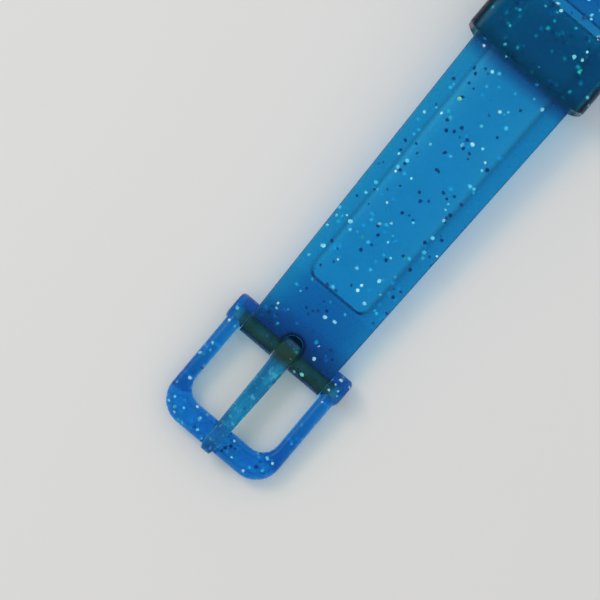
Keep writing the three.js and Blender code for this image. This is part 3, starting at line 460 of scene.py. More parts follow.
def clear_plastic(
    name,
    lost,
    tints,
    streak_mm,
    dents_mm,
    gloss=(0.26, 0.34),
    lamp_pass=1.0,
    clear=1.0,
    shade=None,
    shine=(0.3, 0.35, 0.4),
):
    """Plastic that loses these shares of red, green and blue in each millimetre, as natural logarithms.

    The shine is low, because worn plastic reflects less than polished.
    """
    material, tree, shader, output = fresh(name)
    colour = ramp(tree, noise(tree, streak_mm, CLOUD_DETAIL, CLOUD_STRETCH), *zip(NOISE_SPAN, tints))
    inputs = {"Transmission Weight": clear, "IOR": PLASTIC_IOR, "Specular Tint": shine}
    inputs["Base Color"] = shade(tree, colour) if shade else colour
    inputs["Roughness"] = mapped(tree, noise(tree, GLOSS_PATCH), *NOISE_SPAN, *gloss)
    inputs["Normal"] = relief(tree, noise(tree, streak_mm, DENT_DETAIL), dents_mm)
    feed(tree, shader, inputs)
    through = new_node(tree, "BsdfTransparent", 0, {"Color": (lamp_pass, lamp_pass, lamp_pass)})
    surface = by_ray(tree, LAMP_RAYS, shader.outputs["BSDF"], through)
    most = max(lost)
    kept = tuple(1 - share / most for share in lost)
    volume = new_node(tree, "VolumeAbsorption", 0, {"Density": most / MM, "Color": kept})
    feed(tree, output, {"Surface": surface, "Volume": volume})
    return material


# %% [markdown]
# The strap's colour carries painted shade. It is darker towards the pin and greener on the end beyond it,
# dark round the slot, dark along the panel's edge and darker over the border, and darker on the sides. A
# painted shadow lies beside the keeper's edge. Most of these are ramps over one distance, as a share of
# SHADE_REACH, that multiply the colour.

# %% Finish of the strap
SHADE_REACH = 10.0
SLOT_WIDTH = 2.7
SLOT_REACH = 2.25  # from the pin to the slot's round end
KEEPER_FROM_BUCKLE = 43.2
JELLY_TINTS = ((0.88, 0.97, 1.0), (0.95, 0.99, 1.0))
# Painted shade: the strap darkens towards the buckle pin, with a step where its end meets the panel.
PIN_SHADE = (
    (0.0, (0.2, 0.36, 0.4)),
    (0.22, (0.42, 0.58, 0.62)),
    (0.45, (0.72, 0.86, 0.88)),
    (0.84, (0.8, 0.9, 0.92)),
    (0.88, WHITE),
)
PANEL_MARK = "panel"
PANEL_FADE = 2.0  # millimetres across the panel's edge, over which the mark goes from 0 inside to 1 outside
# Painted shade: a dark line along the panel's edge and a darker border beside it.
PANEL_SHADE = (
    (0.43, WHITE),
    (0.49, (0.3, 0.48, 0.58)),
    (0.55, (0.3, 0.68, 0.76)),
    (1.0, (0.36, 0.78, 0.84)),
)
# Painted shade: the strap's end beyond the pin is darker and greener.
END_PAINTED_SHADE = (0.9, 0.95, 0.55)
END_SHADE_FROM = 0.6
END_SHADE_FADE = 0.15
# Painted shadow round the slot's round end, where the prong's hub turns.
SLOT_PAINTED_SHADOW = (0.03, 0.06, 0.09)
SLOT_SHADOW_LIMIT = (0.165, 0.03)  # shares of SHADE_REACH: middle and half width of the fade
# Painted shade: the sides darken as their normals turn sideways.
SIDE_SHADE = ((0.25, WHITE), (0.6, (0.36, 0.4, 0.4)))
EDGE_AT = 0.5  # share at the keeper's edge
# Painted shadow of the keeper on the strap, along the keeper's edge towards the buckle.
KEEPER_PAINTED_SHADOW = ((0.25, WHITE), (0.4, (0.7, 0.5, 0.66)), (0.5, (0.7, 0.42, 0.6)), (0.54, WHITE))


def from_pin(tree):
    """Distance from the buckle pin's axis, as a share."""
    _, y, z = place_parts(tree)
    along = calc(tree, "SUBTRACT", y, buckle_pin[1] * MM)
    up = calc(tree, "SUBTRACT", z, buckle_pin[2] * MM)
    return calc(tree, "DIVIDE", hypotenuse(tree, along, up), SHADE_REACH * MM)


def from_slot(tree):
    """Distance in plan from the middle of the slot's round end, as a share."""
    x, y, _ = place_parts(tree)
    along = calc(tree, "SUBTRACT", y, (buckle_pin[1] - SLOT_REACH + SLOT_WIDTH / 2) * MM)
    return calc(tree, "DIVIDE", hypotenuse(tree, along, x), SHADE_REACH * MM)


def before_keeper(tree):
    """How far a point lies from the keeper's edge towards the case, as a share; at the edge it is EDGE_AT."""
    edge = lug_pin[1] + (buckle_side_length - KEEPER_FROM_BUCKLE) * math.cos(strap_slope)
    before = calc(tree, "SUBTRACT", edge * MM, place_parts(tree)[1])
    return calc(tree, "ADD", calc(tree, "DIVIDE", before, SHADE_REACH * MM), EDGE_AT)


def strap_shade(tree, colour):
    """Painted shadow by the keeper; painted shade near the pin, round panel and slot, and on the sides."""
    colour = shaded(tree, colour, before_keeper(tree), KEEPER_PAINTED_SHADOW)
    colour = shaded(tree, colour, from_pin(tree), PIN_SHADE)
    mark = new_node(tree, "Attribute", "Fac", attribute_name=PANEL_MARK)
    colour = shaded(tree, colour, mark, PANEL_SHADE)
    end = (buckle_pin[1] + END_SHADE_FROM) * MM
    before_end = step_below(tree, place_parts(tree)[1], end, END_SHADE_FADE * MM)
    colour = mixed(tree, before_end, mixed(tree, 1, colour, END_PAINTED_SHADE, "MULTIPLY"), colour)
    colour = mixed(tree, step_below(tree, from_slot(tree), *SLOT_SHADOW_LIMIT), colour, SLOT_PAINTED_SHADOW)
    sideways = calc(tree, "ABSOLUTE", place_parts(tree, "Normal")[0])
    return shaded(tree, colour, sideways, SIDE_SHADE)


strap_jelly = clear_plastic(
    "strap_jelly", lost=(1.6, 0.3, 0.08), tints=JELLY_TINTS, streak_mm=7, dents_mm=0.02, shade=strap_shade
)
print("finish:", strap_jelly.name)

# %% [markdown]
# The strap's section is a rectangle with round edges. Across it, points stand at fixed places over the
# panel and at shares of the border beside it, so that the panel's outline stays crisp while the strap
# tapers. Along it, stations stand close where something bends. The shallow panel is pressed into the points
# of the underside, so no cut is needed for it, and each point keeps its distance from the panel's outline
# for the finish.

# %% Strap surface
STRAP_THICKNESS = 2.2
STRAP_LUG_WIDTH = 15.4
STRAP_END_WIDTH = 12.0
STRAP_EDGE = 0.24
LUG_BARREL_RADIUS = 1.9
LUG_FLARE = 8.5
PANEL_WIDTH = 9.5
PANEL_DEPTH = 0.55
PANEL_CORNER = 1.4
PANEL_WALL = 1.5  # width of the slope along the panel's sides
PANEL_END_WALL = 0.3
PANEL_FROM_LUG = 9.0
PANEL_BORDER = (PANEL_WIDTH + PANEL_WALL) / 2
PANEL_AT_HALF = 6.95  # half-width of the strap where the panel has its full width
PANEL_STEPS = 46
WALL_STEPS = 11
BORDER_STEPS = 6
BARREL_STEPS = 14
STATION_PITCH = 0.3
PITCHES_IN_WALL = 6  # close stations in one length of the end wall, where they cross it
PITCHES_IN_CORNER = 2  # and where they cross the panel's corners


def strap_places():
    """Rows of (fixed place, share of the border beyond it) across the strap."""
    low, high = (PANEL_WIDTH - PANEL_WALL) / 2, PANEL_BORDER
    wall = np.linspace(low, high, WALL_STEPS)
    flat = np.linspace(-low, low, PANEL_STEPS)[1:-1]
    border = np.linspace(0, 1, BORDER_STEPS)[1:]
    side = np.full_like(border, high)
    fixed = np.concatenate([-side, -wall[::-1], flat, wall, side])
    share = np.concatenate([-border[::-1], 0 * wall, 0 * flat, 0 * wall, border])
    return np.column_stack([fixed, share])


def panel_distance(x, y, start, end):
    """Distance outside the panel's outline (below 0 inside), and how far it points along the strap."""
    beside = np.abs(x) - PANEL_WIDTH / 2
    beyond = np.abs(y - (start + end) / 2) - (end - start) / 2
    inner = np.stack([beside, beyond], axis=-1) + PANEL_CORNER
    corner = np.maximum(inner, 0)
    reach_out = np.linalg.norm(corner, axis=-1)
    endwise = np.where(reach_out > 0, corner[..., 1] / np.maximum(reach_out, WELD), beyond > beside)
    return reach_out + np.minimum(inner.max(axis=-1), 0) - PANEL_CORNER, endwise


def panel_share(x, y, start, end):
    """1 inside the panel, 0 outside: the distance to its outline over a wall that is short at the ends."""
    outside, endwise = panel_distance(x, y, start, end)
    wall = PANEL_WALL + (PANEL_END_WALL - PANEL_WALL) * endwise**2
    return soft_step(0.5 - outside / wall)


def strap_rows(along, half_width, half_thickness, panel):
    """Formula: x = k f + s(w - r - k p) + c r, z = b(h - r) + d r, with (f, s, b, c, d) from the ring."""
    f, s, b, c, d = section_ring(strap_places()).T
    half_width, half_thickness = half_width[:, None], half_thickness[:, None]
    radius = np.minimum(STRAP_EDGE, np.minimum(half_width, half_thickness))
    flat = half_width - radius
    scale = half_width / PANEL_AT_HALF
    shrink = np.minimum(scale, flat / (PANEL_BORDER + STRAP_EDGE))
    x = shrink * f + s * (flat - shrink * PANEL_BORDER) + c * radius
    y = np.broadcast_to(along[:, None], x.shape)
    z = b * (half_thickness - radius) + d * radius
    pressed = z + PANEL_DEPTH * panel_share(x / np.maximum(scale, WELD), y, *panel)
    return np.stack([x, y, np.where(d == -1, pressed, z)], axis=-1)


def tapered(along, length):
    """Half-width of a strap that narrows evenly over a length."""
    share = np.clip(along / length, 0, 1)
    return (STRAP_LUG_WIDTH + (STRAP_END_WIDTH - STRAP_LUG_WIDTH) * share) / 2


def barrel(along, radius, flare):
    """Half-thickness near a pin: round behind it, then an S-curve down to the flat strap."""
    round_end = np.sqrt(np.maximum(radius**2 - along**2, 0))
    return np.where(along < 0, round_end, radius + (STRAP_THICKNESS / 2 - radius) * soft_step(along / flare))


def barrel_stations(radius):
    """Distances behind a pin at even angles round its barrel."""
    return -radius * np.cos(np.linspace(0, np.pi / 2, BARREL_STEPS))[:-1]


def body_stations(length, panel):
    """Even stations along a strap, and close ones across the end walls and the corners of its panel."""
    stations = [even(0, length, STATION_PITCH)]
    for end in panel:
        stations.append(even(end - PANEL_CORNER, end + PANEL_CORNER, PANEL_END_WALL / PITCHES_IN_CORNER))
        stations.append(even(end - PANEL_END_WALL, end + PANEL_END_WALL, PANEL_END_WALL / PITCHES_IN_WALL))
    return np.unique(np.concatenate(stations))


def mark_panel(piece, place, slope, taper_length, panel, flip=False):
    """Keeps 0.5 + d / PANEL_FADE for each point of the underside, d being its distance outside the panel."""
    points = np.empty(3 * len(piece.data.vertices))
    piece.data.vertices.foreach_get("co", points)
    x, y, z = ((points.reshape(-1, 3) / MM - place) @ strap_turn(slope, flip)).T
    outside, _ = panel_distance(x * PANEL_AT_HALF / tapered(y, taper_length), y, *panel)
    marks = np.where(z < 0, 0.5 + outside / PANEL_FADE, 0)
    piece.data.attributes.new(PANEL_MARK, "FLOAT", "POINT").data.foreach_set("value", marks)
    print(piece.name, "panel from", round(panel[0], 1), "to", round(panel[1], 1), "mm")


# %% [markdown]
# The half with the buckle has a barrel at each end. Its slot is cut by a block with a round end, in which
# the prong turns. Holding the pin needs no bore here: the plastic sits tight on it, and the pin shows dark
# through the end, where painted shade in the strap's finish darkens it further.

# %% Strap half with the buckle
END_BARREL_RADIUS = 1.55
END_FLARE = 6.0
PANEL_FROM_BUCKLE = 8.9

buckle_panel = (PANEL_FROM_LUG, buckle_side_length - PANEL_FROM_BUCKLE)


def buckle_side_rows():
    """Rows of the buckle half in its own frame, from the lug pin to the buckle pin."""
    length = buckle_side_length
    past_lug = barrel_stations(LUG_BARREL_RADIUS)
    past_pin = length - barrel_stations(END_BARREL_RADIUS)[::-1]
    along = np.concatenate([past_lug, body_stations(length, buckle_panel), past_pin])
    by_lug = barrel(along, LUG_BARREL_RADIUS, LUG_FLARE)
    by_buckle = barrel(length - along, END_BARREL_RADIUS, END_FLARE)
    half_thickness = np.where(along < length / 2, by_lug, by_buckle)
    return strap_rows(along, tapered(along, length), half_thickness, buckle_panel)


def slot_rows():
    """A block with a round end, deeper than the strap, that reaches past its end."""
    half = SLOT_WIDTH / 2
    bend = half * arc(np.pi, 2 * np.pi, ROUND_STEPS // 2) + [0, buckle_side_length - SLOT_REACH + half]
    beyond = 2 * END_BARREL_RADIUS
    open_end = buckle_side_length + beyond
    return prism(np.concatenate([bend, [[half, open_end], [-half, open_end]]]), -beyond, beyond)


buckle_strap = skin("buckle_strap", settle(buckle_side_rows(), lug_pin, strap_slope))
carved(buckle_strap, [skin("prong_slot", settle(slot_rows(), lug_pin, strap_slope))], "DIFFERENCE")
mark_panel(buckle_strap, lug_pin, strap_slope, buckle_side_length, buckle_panel)
dressed(buckle_strap, "buckle_strap", "strap_jelly", strap_jelly, "buckle_side_strap")

# %% [markdown]
# The other half has one barrel, a taper that stops a third of the way along, seven holes and a round tip.
# Its slope is worked out the way it rests: the lower edge of its tip touches the table.

# %% Strap half with the holes
HOLE_SIDE_LENGTH = 92.0
TAPER_LENGTH = 34.0
HOLE_COUNT = 7
HOLE_PITCH = 6.5
HOLE_RADIUS = 1.35
FIRST_HOLE_FROM_TIP = 15.0
PANEL_FROM_HOLES = 4.0
TIP_STEPS = 40

tip_reach = math.hypot(HOLE_SIDE_LENGTH, STRAP_THICKNESS / 2)
tip_drop = math.atan2(STRAP_THICKNESS / 2, HOLE_SIDE_LENGTH)
far_slope = math.asin(far_lug_pin[2] / tip_reach) - tip_drop
hole_places = HOLE_SIDE_LENGTH - FIRST_HOLE_FROM_TIP - HOLE_PITCH * np.arange(HOLE_COUNT)
hole_panel = (PANEL_FROM_LUG, hole_places.min() - HOLE_RADIUS - PANEL_FROM_HOLES)


def hole_side_rows():
    """Rows of the half with the holes: the width tapers, then follows a half circle round the tip."""
    tip = STRAP_END_WIDTH / 2
    straight = HOLE_SIDE_LENGTH - tip
    bend = straight + tip * np.sin(np.linspace(0, np.pi / 2, TIP_STEPS)[1:])
    along = np.concatenate([barrel_stations(LUG_BARREL_RADIUS), body_stations(straight, hole_panel), bend])
    past = np.maximum(along - straight, 0)
    round_tip = np.sqrt(np.maximum(tip**2 - past**2, 0))
    half_width = np.where(past > 0, round_tip, tapered(along, TAPER_LENGTH))
    return strap_rows(along, half_width, barrel(along, LUG_BARREL_RADIUS, LUG_FLARE), hole_panel)


def hole_rows(place):
    """A round punch through the strap, with a small flare where it leaves each face."""
    half = STRAP_THICKNESS / 2
    flare = STRAP_EDGE / 2
    heights = np.array([-2 * half, -half, flare - half, half - flare, half, 2 * half])
    radii = HOLE_RADIUS + np.array([flare, flare, 0, 0, flare, flare])
    return turned_z(np.column_stack([radii, heights]), (0, place, 0), ROUND_STEPS)


hole_strap = skin("hole_strap", settle(hole_side_rows(), far_lug_pin, far_slope, flip=True))
punches = [skin("punch", settle(hole_rows(y), far_lug_pin, far_slope, flip=True)) for y in hole_places]
carved(hole_strap, punches, "DIFFERENCE")
mark_panel(hole_strap, far_lug_pin, far_slope, TAPER_LENGTH, hole_panel, flip=True)
dressed(hole_strap, "hole_strap", "strap_jelly", strap_jelly, "hole_side_strap")

# %% [markdown]
# The keeper is a band with round edges carried along a closed path: a rectangle with round corners. It
# hangs on the strap with room below for the other half. Its upright walls are a little shorter than its
# top, as on moulded loops, and painted shade darkens them, standing for light that comes through them the
# long way.

# %% Keeper loop
KEEPER_LENGTH = 8.4
KEEPER_WALL = 1.0
KEEPER_GAP = 0.2
KEEPER_CORNER = 1.8
KEEPER_EDGE = 0.45
KEEPER_PULL = 0.09  # share of its length that an upright wall is shorter by
KEEPER_SHINE = (0.12, 0.16, 0.22)
# Painted shade on the keeper's upright walls, seen end on.
KEEPER_SHADE = ((0.71, WHITE), (0.79, (0.22, 0.3, 0.5)))
# Painted shade: the keeper darkens along its edge towards the buckle.
KEEPER_EDGE_SHADE = ((0.5, (0.4, 0.5, 0.45)), (0.56, (0.66, 0.74, 0.7)), (0.7, WHITE))
PATH_STEPS = 14


def keeper_shade(tree, colour):
    """Painted shade: darker upright walls and a darker edge towards the buckle."""
    aside = calc(tree, "DIVIDE", calc(tree, "ABSOLUTE", place_parts(tree)[0]), SHADE_REACH * MM)
    colour = shaded(tree, colour, aside, KEEPER_SHADE)
    return shaded(tree, colour, before_keeper(tree), KEEPER_EDGE_SHADE)


def keeper_rows():
    """Formula: path point + n times the section's first number; along, its second times 1 - p n_x^2."""
    near = buckle_side_length - KEEPER_FROM_BUCKLE
    far = near - KEEPER_LENGTH
    inner_width = 2 * tapered(far, buckle_side_length) + 2 * KEEPER_GAP
    inner_height = 2 * STRAP_THICKNESS + KEEPER_GAP
    corner = KEEPER_CORNER - KEEPER_WALL / 2
    path, normal = rounded_path(inner_width + KEEPER_WALL, inner_height + KEEPER_WALL, corner, PATH_STEPS)
    path = path + [0, STRAP_THICKNESS / 2 + KEEPER_GAP - inner_height / 2]
    section, _ = rounded_path(KEEPER_WALL, KEEPER_LENGTH, KEEPER_EDGE, EDGE_STEPS)
    across = path[:, None, :] + normal[:, None, :] * section[None, :, :1]
    along = (near + far) / 2 + section[:, 1] * (1 - KEEPER_PULL * normal[:, :1] ** 2)
    rows = np.stack([across[..., 0], along, across[..., 1]], axis=-1)
    return np.concatenate([rows, rows[:1]])


keeper_jelly = clear_plastic(
    "keeper_jelly",
    lost=(1.8, 0.33, 0.27),
    tints=JELLY_TINTS,
    streak_mm=5,
    dents_mm=0.02,
    shade=keeper_shade,
    shine=KEEPER_SHINE,
)
keeper = skin("keeper", settle(keeper_rows(), lug_pin, strap_slope), capped=False)
dressed(keeper, "keeper", "strap_jelly", keeper_jelly, "keeper_loop")

# %% [markdown]
# The buckle is a U. An inner and an outer line run side by side round it, and at every step a section with
# round edges spans the gap between them, so the arms stay slim, the far bar is broad and the corners blend.
# The whole U sinks towards the bar, which lies on the table. Two ears join it at the pin, and a groove
# takes the prong.

# %% Buckle frame
ARM_INNER = 6.25
ARM_OUTER = 8.1
FRAME_THICKNESS = 2.8
FRAME_EDGE = 0.85
FRAME_DROP = 0.65
BAR_NEAR = 11.3
BAR_FAR = 14.55
INNER_CORNER = 2.3
OUTER_CORNER = 3.4
EAR_RADIUS = 1.82
EAR_INNER = 6.07
EAR_END = 8.45
EAR_EDGE = 0.55
EAR_INNER_EDGE = EAR_EDGE / 4
EAR_BACK = 0.45  # the ears reach further towards the case than beyond the pin
GROOVE_DEPTH = 0.5
GROOVE_WIDTH = 2.5
SWEEP_STEPS = 26
FRAME_ACROSS_STEPS = 6
FRAME_EDGE_STEPS = 8
BUCKLE_TINTS = ((0.5, 0.62, 0.92), WHITE)


def u_line(side, bar, corner):
    """One line of the U: up an arm at X = side, round a corner, along the bar at Y = bar, and back down."""
    arm_y = np.linspace(0, bar - corner, SWEEP_STEPS)
    bar_x = np.linspace(side - corner, 0, SWEEP_STEPS)
    bend = corner * arc(0, np.pi / 2, SWEEP_STEPS)[1:-1] + [side - corner, bar - corner]
    arm = np.column_stack([np.full_like(arm_y, side), arm_y])
    half = np.concatenate([arm, bend, np.column_stack([bar_x, np.full_like(bar_x, bar)])])
    return np.concatenate([half, half[-2::-1] * [-1, 1]])


def frame_rows():
    """Formula: middle of both lines + a(w/2 - r) + c r across, b(t/2 - r) + d r up, sunk towards the bar."""
    inner = u_line(ARM_INNER, BAR_NEAR, INNER_CORNER)
    outer = u_line(ARM_OUTER, BAR_FAR, OUTER_CORNER)
    gap = np.linalg.norm(outer - inner, axis=-1, keepdims=True)
    across = (outer - inner) / gap
    a, b, c, d = section_ring(np.linspace(-1, 1, FRAME_ACROSS_STEPS)[:, None], FRAME_EDGE_STEPS).T
    offset = a * (gap / 2 - FRAME_EDGE) + c * FRAME_EDGE
    plan = ((inner + outer) / 2)[:, None, :] + across[:, None, :] * offset[..., None]
    height = b * (FRAME_THICKNESS / 2 - FRAME_EDGE) + d * FRAME_EDGE
    z = height - FRAME_DROP * soft_step(plan[..., 1] / BAR_NEAR)
    return np.concatenate([plan, z[..., None]], axis=-1)


def ear_profile(side):
    """An ear from beside the strap outwards, with a round outer edge."""
    edge = EAR_EDGE * arc(0, np.pi / 2, EDGE_STEPS)[:, ::-1] + [EAR_END - EAR_EDGE, EAR_RADIUS - EAR_EDGE]
    inner = [(EAR_INNER, EAR_RADIUS - EAR_INNER_EDGE), (EAR_INNER + EAR_INNER_EDGE, EAR_RADIUS)]
    return np.concatenate([inner, edge]) * [side, 1]


buckle_plastic = clear_plastic(
    "buckle_plastic", (1.6, 0.27, 0.02), BUCKLE_TINTS, streak_mm=3, dents_mm=0.03, lamp_pass=0.8
)
buckle = skin("buckle", frame_rows() + buckle_pin)
ear_place = buckle_pin - [0, EAR_BACK, 0]
carved(buckle, [skin("ear", turned_x(ear_profile(side), ear_place)) for side in (1, -1)], "UNION")
groove_floor = FRAME_THICKNESS / 2 - FRAME_DROP - GROOVE_DEPTH
groove_low = (-GROOVE_WIDTH / 2, BAR_NEAR - CUT_BEYOND, groove_floor)
groove_high = (GROOVE_WIDTH / 2, BAR_FAR + CUT_BEYOND, FRAME_THICKNESS)
carved(buckle, [skin("groove", box_rows(groove_low, groove_high) + buckle_pin)], "DIFFERENCE")
dressed(buckle, "buckle", "glitter_plastic", buckle_plastic, "buckle_frame")

# %% [markdown]
# The prong is drawn from the side: a hub round the pin, with a heel that fills the slot, and a bar that
# rises to the far end and closes in a blunt nose. That outline is carried across its width, drawn in a
# little at both faces for a round edge, and the width itself narrows towards the nose. Painted shade
# darkens the hub and the heel, and pale specks cloud the bar.

# %% Prong
PRONG_HUB_RADIUS = 1.45
PRONG_HEEL = 0.75  # how far the hub bulges into the slot
HEEL_GAP = 0.03  # room between the heel and the slot's round end
PRONG_WIDTHS = ((0.7, 2.62), (2.3, 2.1), (11.3, 1.9), (14.0, 1.85), (15.1, 1.3))  # (from the pin, width)
PRONG_TIP = 15.05
PRONG_THICKNESS = 1.25
PRONG_EDGE = 0.3
PRONG_SEAT = 0.15
NOSE_LENGTH = 0.62
LEVEL_BEFORE_BAR = 1.0  # the lower side is level from this far before the bar
HUB_ARC = np.radians((62, 350))
NOSE_STEPS = 12
HUB_STEPS = 40
MIDDLE_STEPS = 10
OUTLINE_POINTS = 160
PRONG_TINTS = ((0.008, 0.14, 0.4), (0.05, 0.5, 0.85))
SPECK_SIZE = 0.9
SPECK_DETAIL = 2
SPECK_LIMIT = (0.38, 0.07)
SPECK_TINT = (0.2, 0.72, 0.92)
# Painted shade: brown-green darkening round the hub.
HUB_PAINTED_SHADE = (0.05, 0.12, 0.09)
HUB_SHADE_LIMIT = (0.19, 0.05)  # shares of SHADE_REACH: middle and half width of the fade
# Painted shadow on the heel, inside the slot.
HEEL_PAINTED_SHADOW = (0.006, 0.02, 0.045)
HEEL_SHADOW_FROM = 1.35
HEEL_SHADOW_FADE = 0.2


def hub_shade(tree, colour):
    """Pale specks in the bar, and painted shade: brown-green at the hub and dark on the heel."""
    heel_end = (buckle_pin[1] - HEEL_SHADOW_FROM) * MM
    specks = step_below(tree, noise(tree, SPECK_SIZE, SPECK_DETAIL), *SPECK_LIMIT)
    hub = step_below(tree, from_pin(tree), *HUB_SHADE_LIMIT)
    heel = step_below(tree, place_parts(tree)[1], heel_end, HEEL_SHADOW_FADE * MM)
    for share, overlay_tint in ((specks, SPECK_TINT), (hub, HUB_PAINTED_SHADE), (heel, HEEL_PAINTED_SHADOW)):
        colour = mixed(tree, share, colour, overlay_tint)
    return colour


def prong_outline():
    """Side view of the prong, counter-clockwise from the upper end of its hub, at even steps."""
    half = PRONG_THICKNESS / 2
    axis = groove_floor + PRONG_SEAT + half
    nose = arc(-np.pi / 2, np.pi / 2, NOSE_STEPS) * [NOSE_LENGTH, half] + [PRONG_TIP - NOSE_LENGTH, axis]
    hub = arc(*HUB_ARC, HUB_STEPS)
    hub *= PRONG_HUB_RADIUS + PRONG_HEEL * np.clip(-hub[:, :1], 0, 1)
    lower = [[BAR_NEAR - LEVEL_BEFORE_BAR, axis - half]]
    corners = np.concatenate([hub, lower, nose, [[BAR_NEAR, axis + half]], hub[:1]])
    step = np.concatenate([[0], np.cumsum(np.linalg.norm(np.diff(corners, axis=0), axis=-1))])
    at = np.linspace(0, step[-1], OUTLINE_POINTS, endpoint=False)
    return np.column_stack([np.interp(at, step, line) for line in corners.T])


def prong_rows():
    """Formula: x = s w(y) / 2, the outline drawn in at the faces, and its heel kept inside the slot."""
    outline = prong_outline()
    distance, width = np.array(PRONG_WIDTHS).T
    across, side = drawn_in(outline, width.max() / 2, PRONG_EDGE, MIDDLE_STEPS)
    x = across[:, None] / width.max() * np.interp(outline[:, 0], distance, width)
    round_end = np.sqrt(np.maximum((SLOT_WIDTH / 2 - HEEL_GAP) ** 2 - x**2, 0))
    limit = SLOT_REACH - SLOT_WIDTH / 2 + round_end
    kept = np.where(side[..., 0] < 0, np.minimum(1, limit / np.linalg.norm(side, axis=-1)), 1)
    return np.concatenate([x[..., None], side * kept[..., None]], axis=-1)


prong_plastic = clear_plastic(
    "prong_plastic",
    lost=(2.0, 0.09, 0.04),
    tints=PRONG_TINTS,
    streak_mm=1.6,
    dents_mm=0.03,
    lamp_pass=0.5,
    clear=0.75,
    shade=hub_shade,
)
prong = skin("prong", prong_rows() + buckle_pin)
dressed(prong, "prong", "glitter_plastic", prong_plastic, "buckle_prong")

# %% [markdown]
# The case is a ring with a flange above for the lens and a step below for the back. Two flats make room for
# the strap, four lugs hold its pins, and a pocket on each side takes a button. Lugs are drawn from the
# side, as the prong is, and joined on.

# %% Case
CAVITY_RADIUS = 13.6
CASE_RADIUS = 17.0
CASE_FLAT = 16.2
CASE_EDGE = 0.5
FOOT_CHAMFER = 1.1
BEZEL_RADIUS = 16.0
WINDOW_RADIUS = 11.0
LEDGE_RADIUS = 15.5
BACK_PROUD = 0.5
LUG_INNER = 8.0
LUG_WIDTH = 2.4
LUG_END_RADIUS = 2.3
LUG_ROOT = 12.0
LUG_ROOT_HEIGHT = 5.2
LUG_EDGE = 0.45
CAP_POCKET_RADIUS = 2.5
POCKET_FLOOR = 15.6
STEM_BORE_RADIUS = 1.3
STEM_BORE_FLOOR = 11.0
BORE_END = 19.0
PLASTIC_TINTS = ((0.8, 0.94, 1.0), (0.9, 0.97, 1.0))

back_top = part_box("case_back")[1].z / MM
flange_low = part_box("face_mask")[1].z / MM
case_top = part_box("lens")[0].z / MM
button_axis = np.array([0, 0, middle("set_button")[2]])


def lug_rows(end, side):
    """A lug: straight from the wall and round about the pin, seen from the side, and carried across."""
    bend = LUG_END_RADIUS * arc(-np.pi / 2, np.pi / 2, ROUND_STEPS) + lug_pin[1:]
    half = LUG_ROOT_HEIGHT / 2
    outline = np.concatenate([[[LUG_ROOT, lug_pin[2] - half]], bend, [[LUG_ROOT, lug_pin[2] + half]]])
    outline = outline if end > 0 else outline[::-1] * [-1, 1]
    across, faces = drawn_in(outline, LUG_WIDTH / 2, LUG_EDGE)
    x = np.broadcast_to(across[:, None], faces.shape[:2]) + side * (LUG_INNER + LUG_WIDTH / 2)
    return np.concatenate([x[..., None], faces], axis=-1)


def flat_rows(end):
    """A block that cuts the flat for the strap."""
    low = (-LUG_INNER, end * CASE_FLAT, -CUT_BEYOND)
    high = (LUG_INNER, end * (CASE_RADIUS + CUT_BEYOND), case_top + CUT_BEYOND)
    return box_rows(low, high)


def bore_rows(radius, floor, side):
    """A plain round bar that cuts a button's bore."""
    return turned_x([(side * floor, radius), (side * BORE_END, radius)], button_axis)


case_plastic = clear_plastic("case_plastic", (0.5, 0.11, 0.03), PLASTIC_TINTS, streak_mm=6, dents_mm=0.02)
case_profile = [
    (CAVITY_RADIUS, back_top),
    (LEDGE_RADIUS, back_top),
    (LEDGE_RADIUS, BACK_PROUD),
    (CASE_RADIUS - FOOT_CHAMFER, BACK_PROUD),
    (CASE_RADIUS, BACK_PROUD + FOOT_CHAMFER),
    (CASE_RADIUS, case_top - (CASE_RADIUS - BEZEL_RADIUS)),
    (BEZEL_RADIUS, case_top),
    (WINDOW_RADIUS, case_top),
    (WINDOW_RADIUS, flange_low),
    (CAVITY_RADIUS, flange_low),
]
case = ring_piece("case", case_profile, CASE_EDGE)
carved(case, [skin("flat", flat_rows(end)) for end in (1, -1)], "DIFFERENCE")
carved(case, [skin("horn", lug_rows(end, side)) for end in (1, -1) for side in (1, -1)], "UNION")
bores = [skin("bore", bore_rows(CAP_POCKET_RADIUS, POCKET_FLOOR, side)) for side in (1, -1)]
bores += [skin("bore", bore_rows(STEM_BORE_RADIUS, STEM_BORE_FLOOR, side)) for side in (1, -1)]
carved(case, bores, "DIFFERENCE")
dressed(case, "case", "glitter_plastic", case_plastic, "case_body")

# %% [markdown]
# A sloping bezel holds a domed lens. The dome is a shallow parabola, high enough to show a curved
# reflection. The lens is clear, so it takes the same shader as the strap with almost nothing lost on the
# way.

# %% Bezel and lens
BEZEL_INNER = 12.55
BEZEL_HEIGHT = 1.5
BEZEL_SLOPE = 1.0
BEZEL_EDGE = 0.3
LENS_RADIUS = 12.4
LENS_EDGE_HEIGHT = 1.0
LENS_DOME = 0.7
DOME_STEPS = 24

bezel_plastic = clear_plastic("bezel_plastic", (1.2, 0.2, 0.04), PLASTIC_TINTS, streak_mm=6, dents_mm=0.02)
bezel_top = case_top + BEZEL_HEIGHT
bezel_profile = [
    (BEZEL_INNER, case_top),
    (BEZEL_RADIUS, case_top),
    (BEZEL_RADIUS, bezel_top - BEZEL_SLOPE),
    (BEZEL_RADIUS - BEZEL_SLOPE, bezel_top),
    (BEZEL_INNER + BEZEL_SLOPE / 2, bezel_top),
    (BEZEL_INNER, bezel_top - BEZEL_SLOPE / 2),
]
bezel = ring_piece("bezel", bezel_profile, BEZEL_EDGE)
dressed(bezel, "case", "glitter_plastic", bezel_plastic, "bezel_ring")

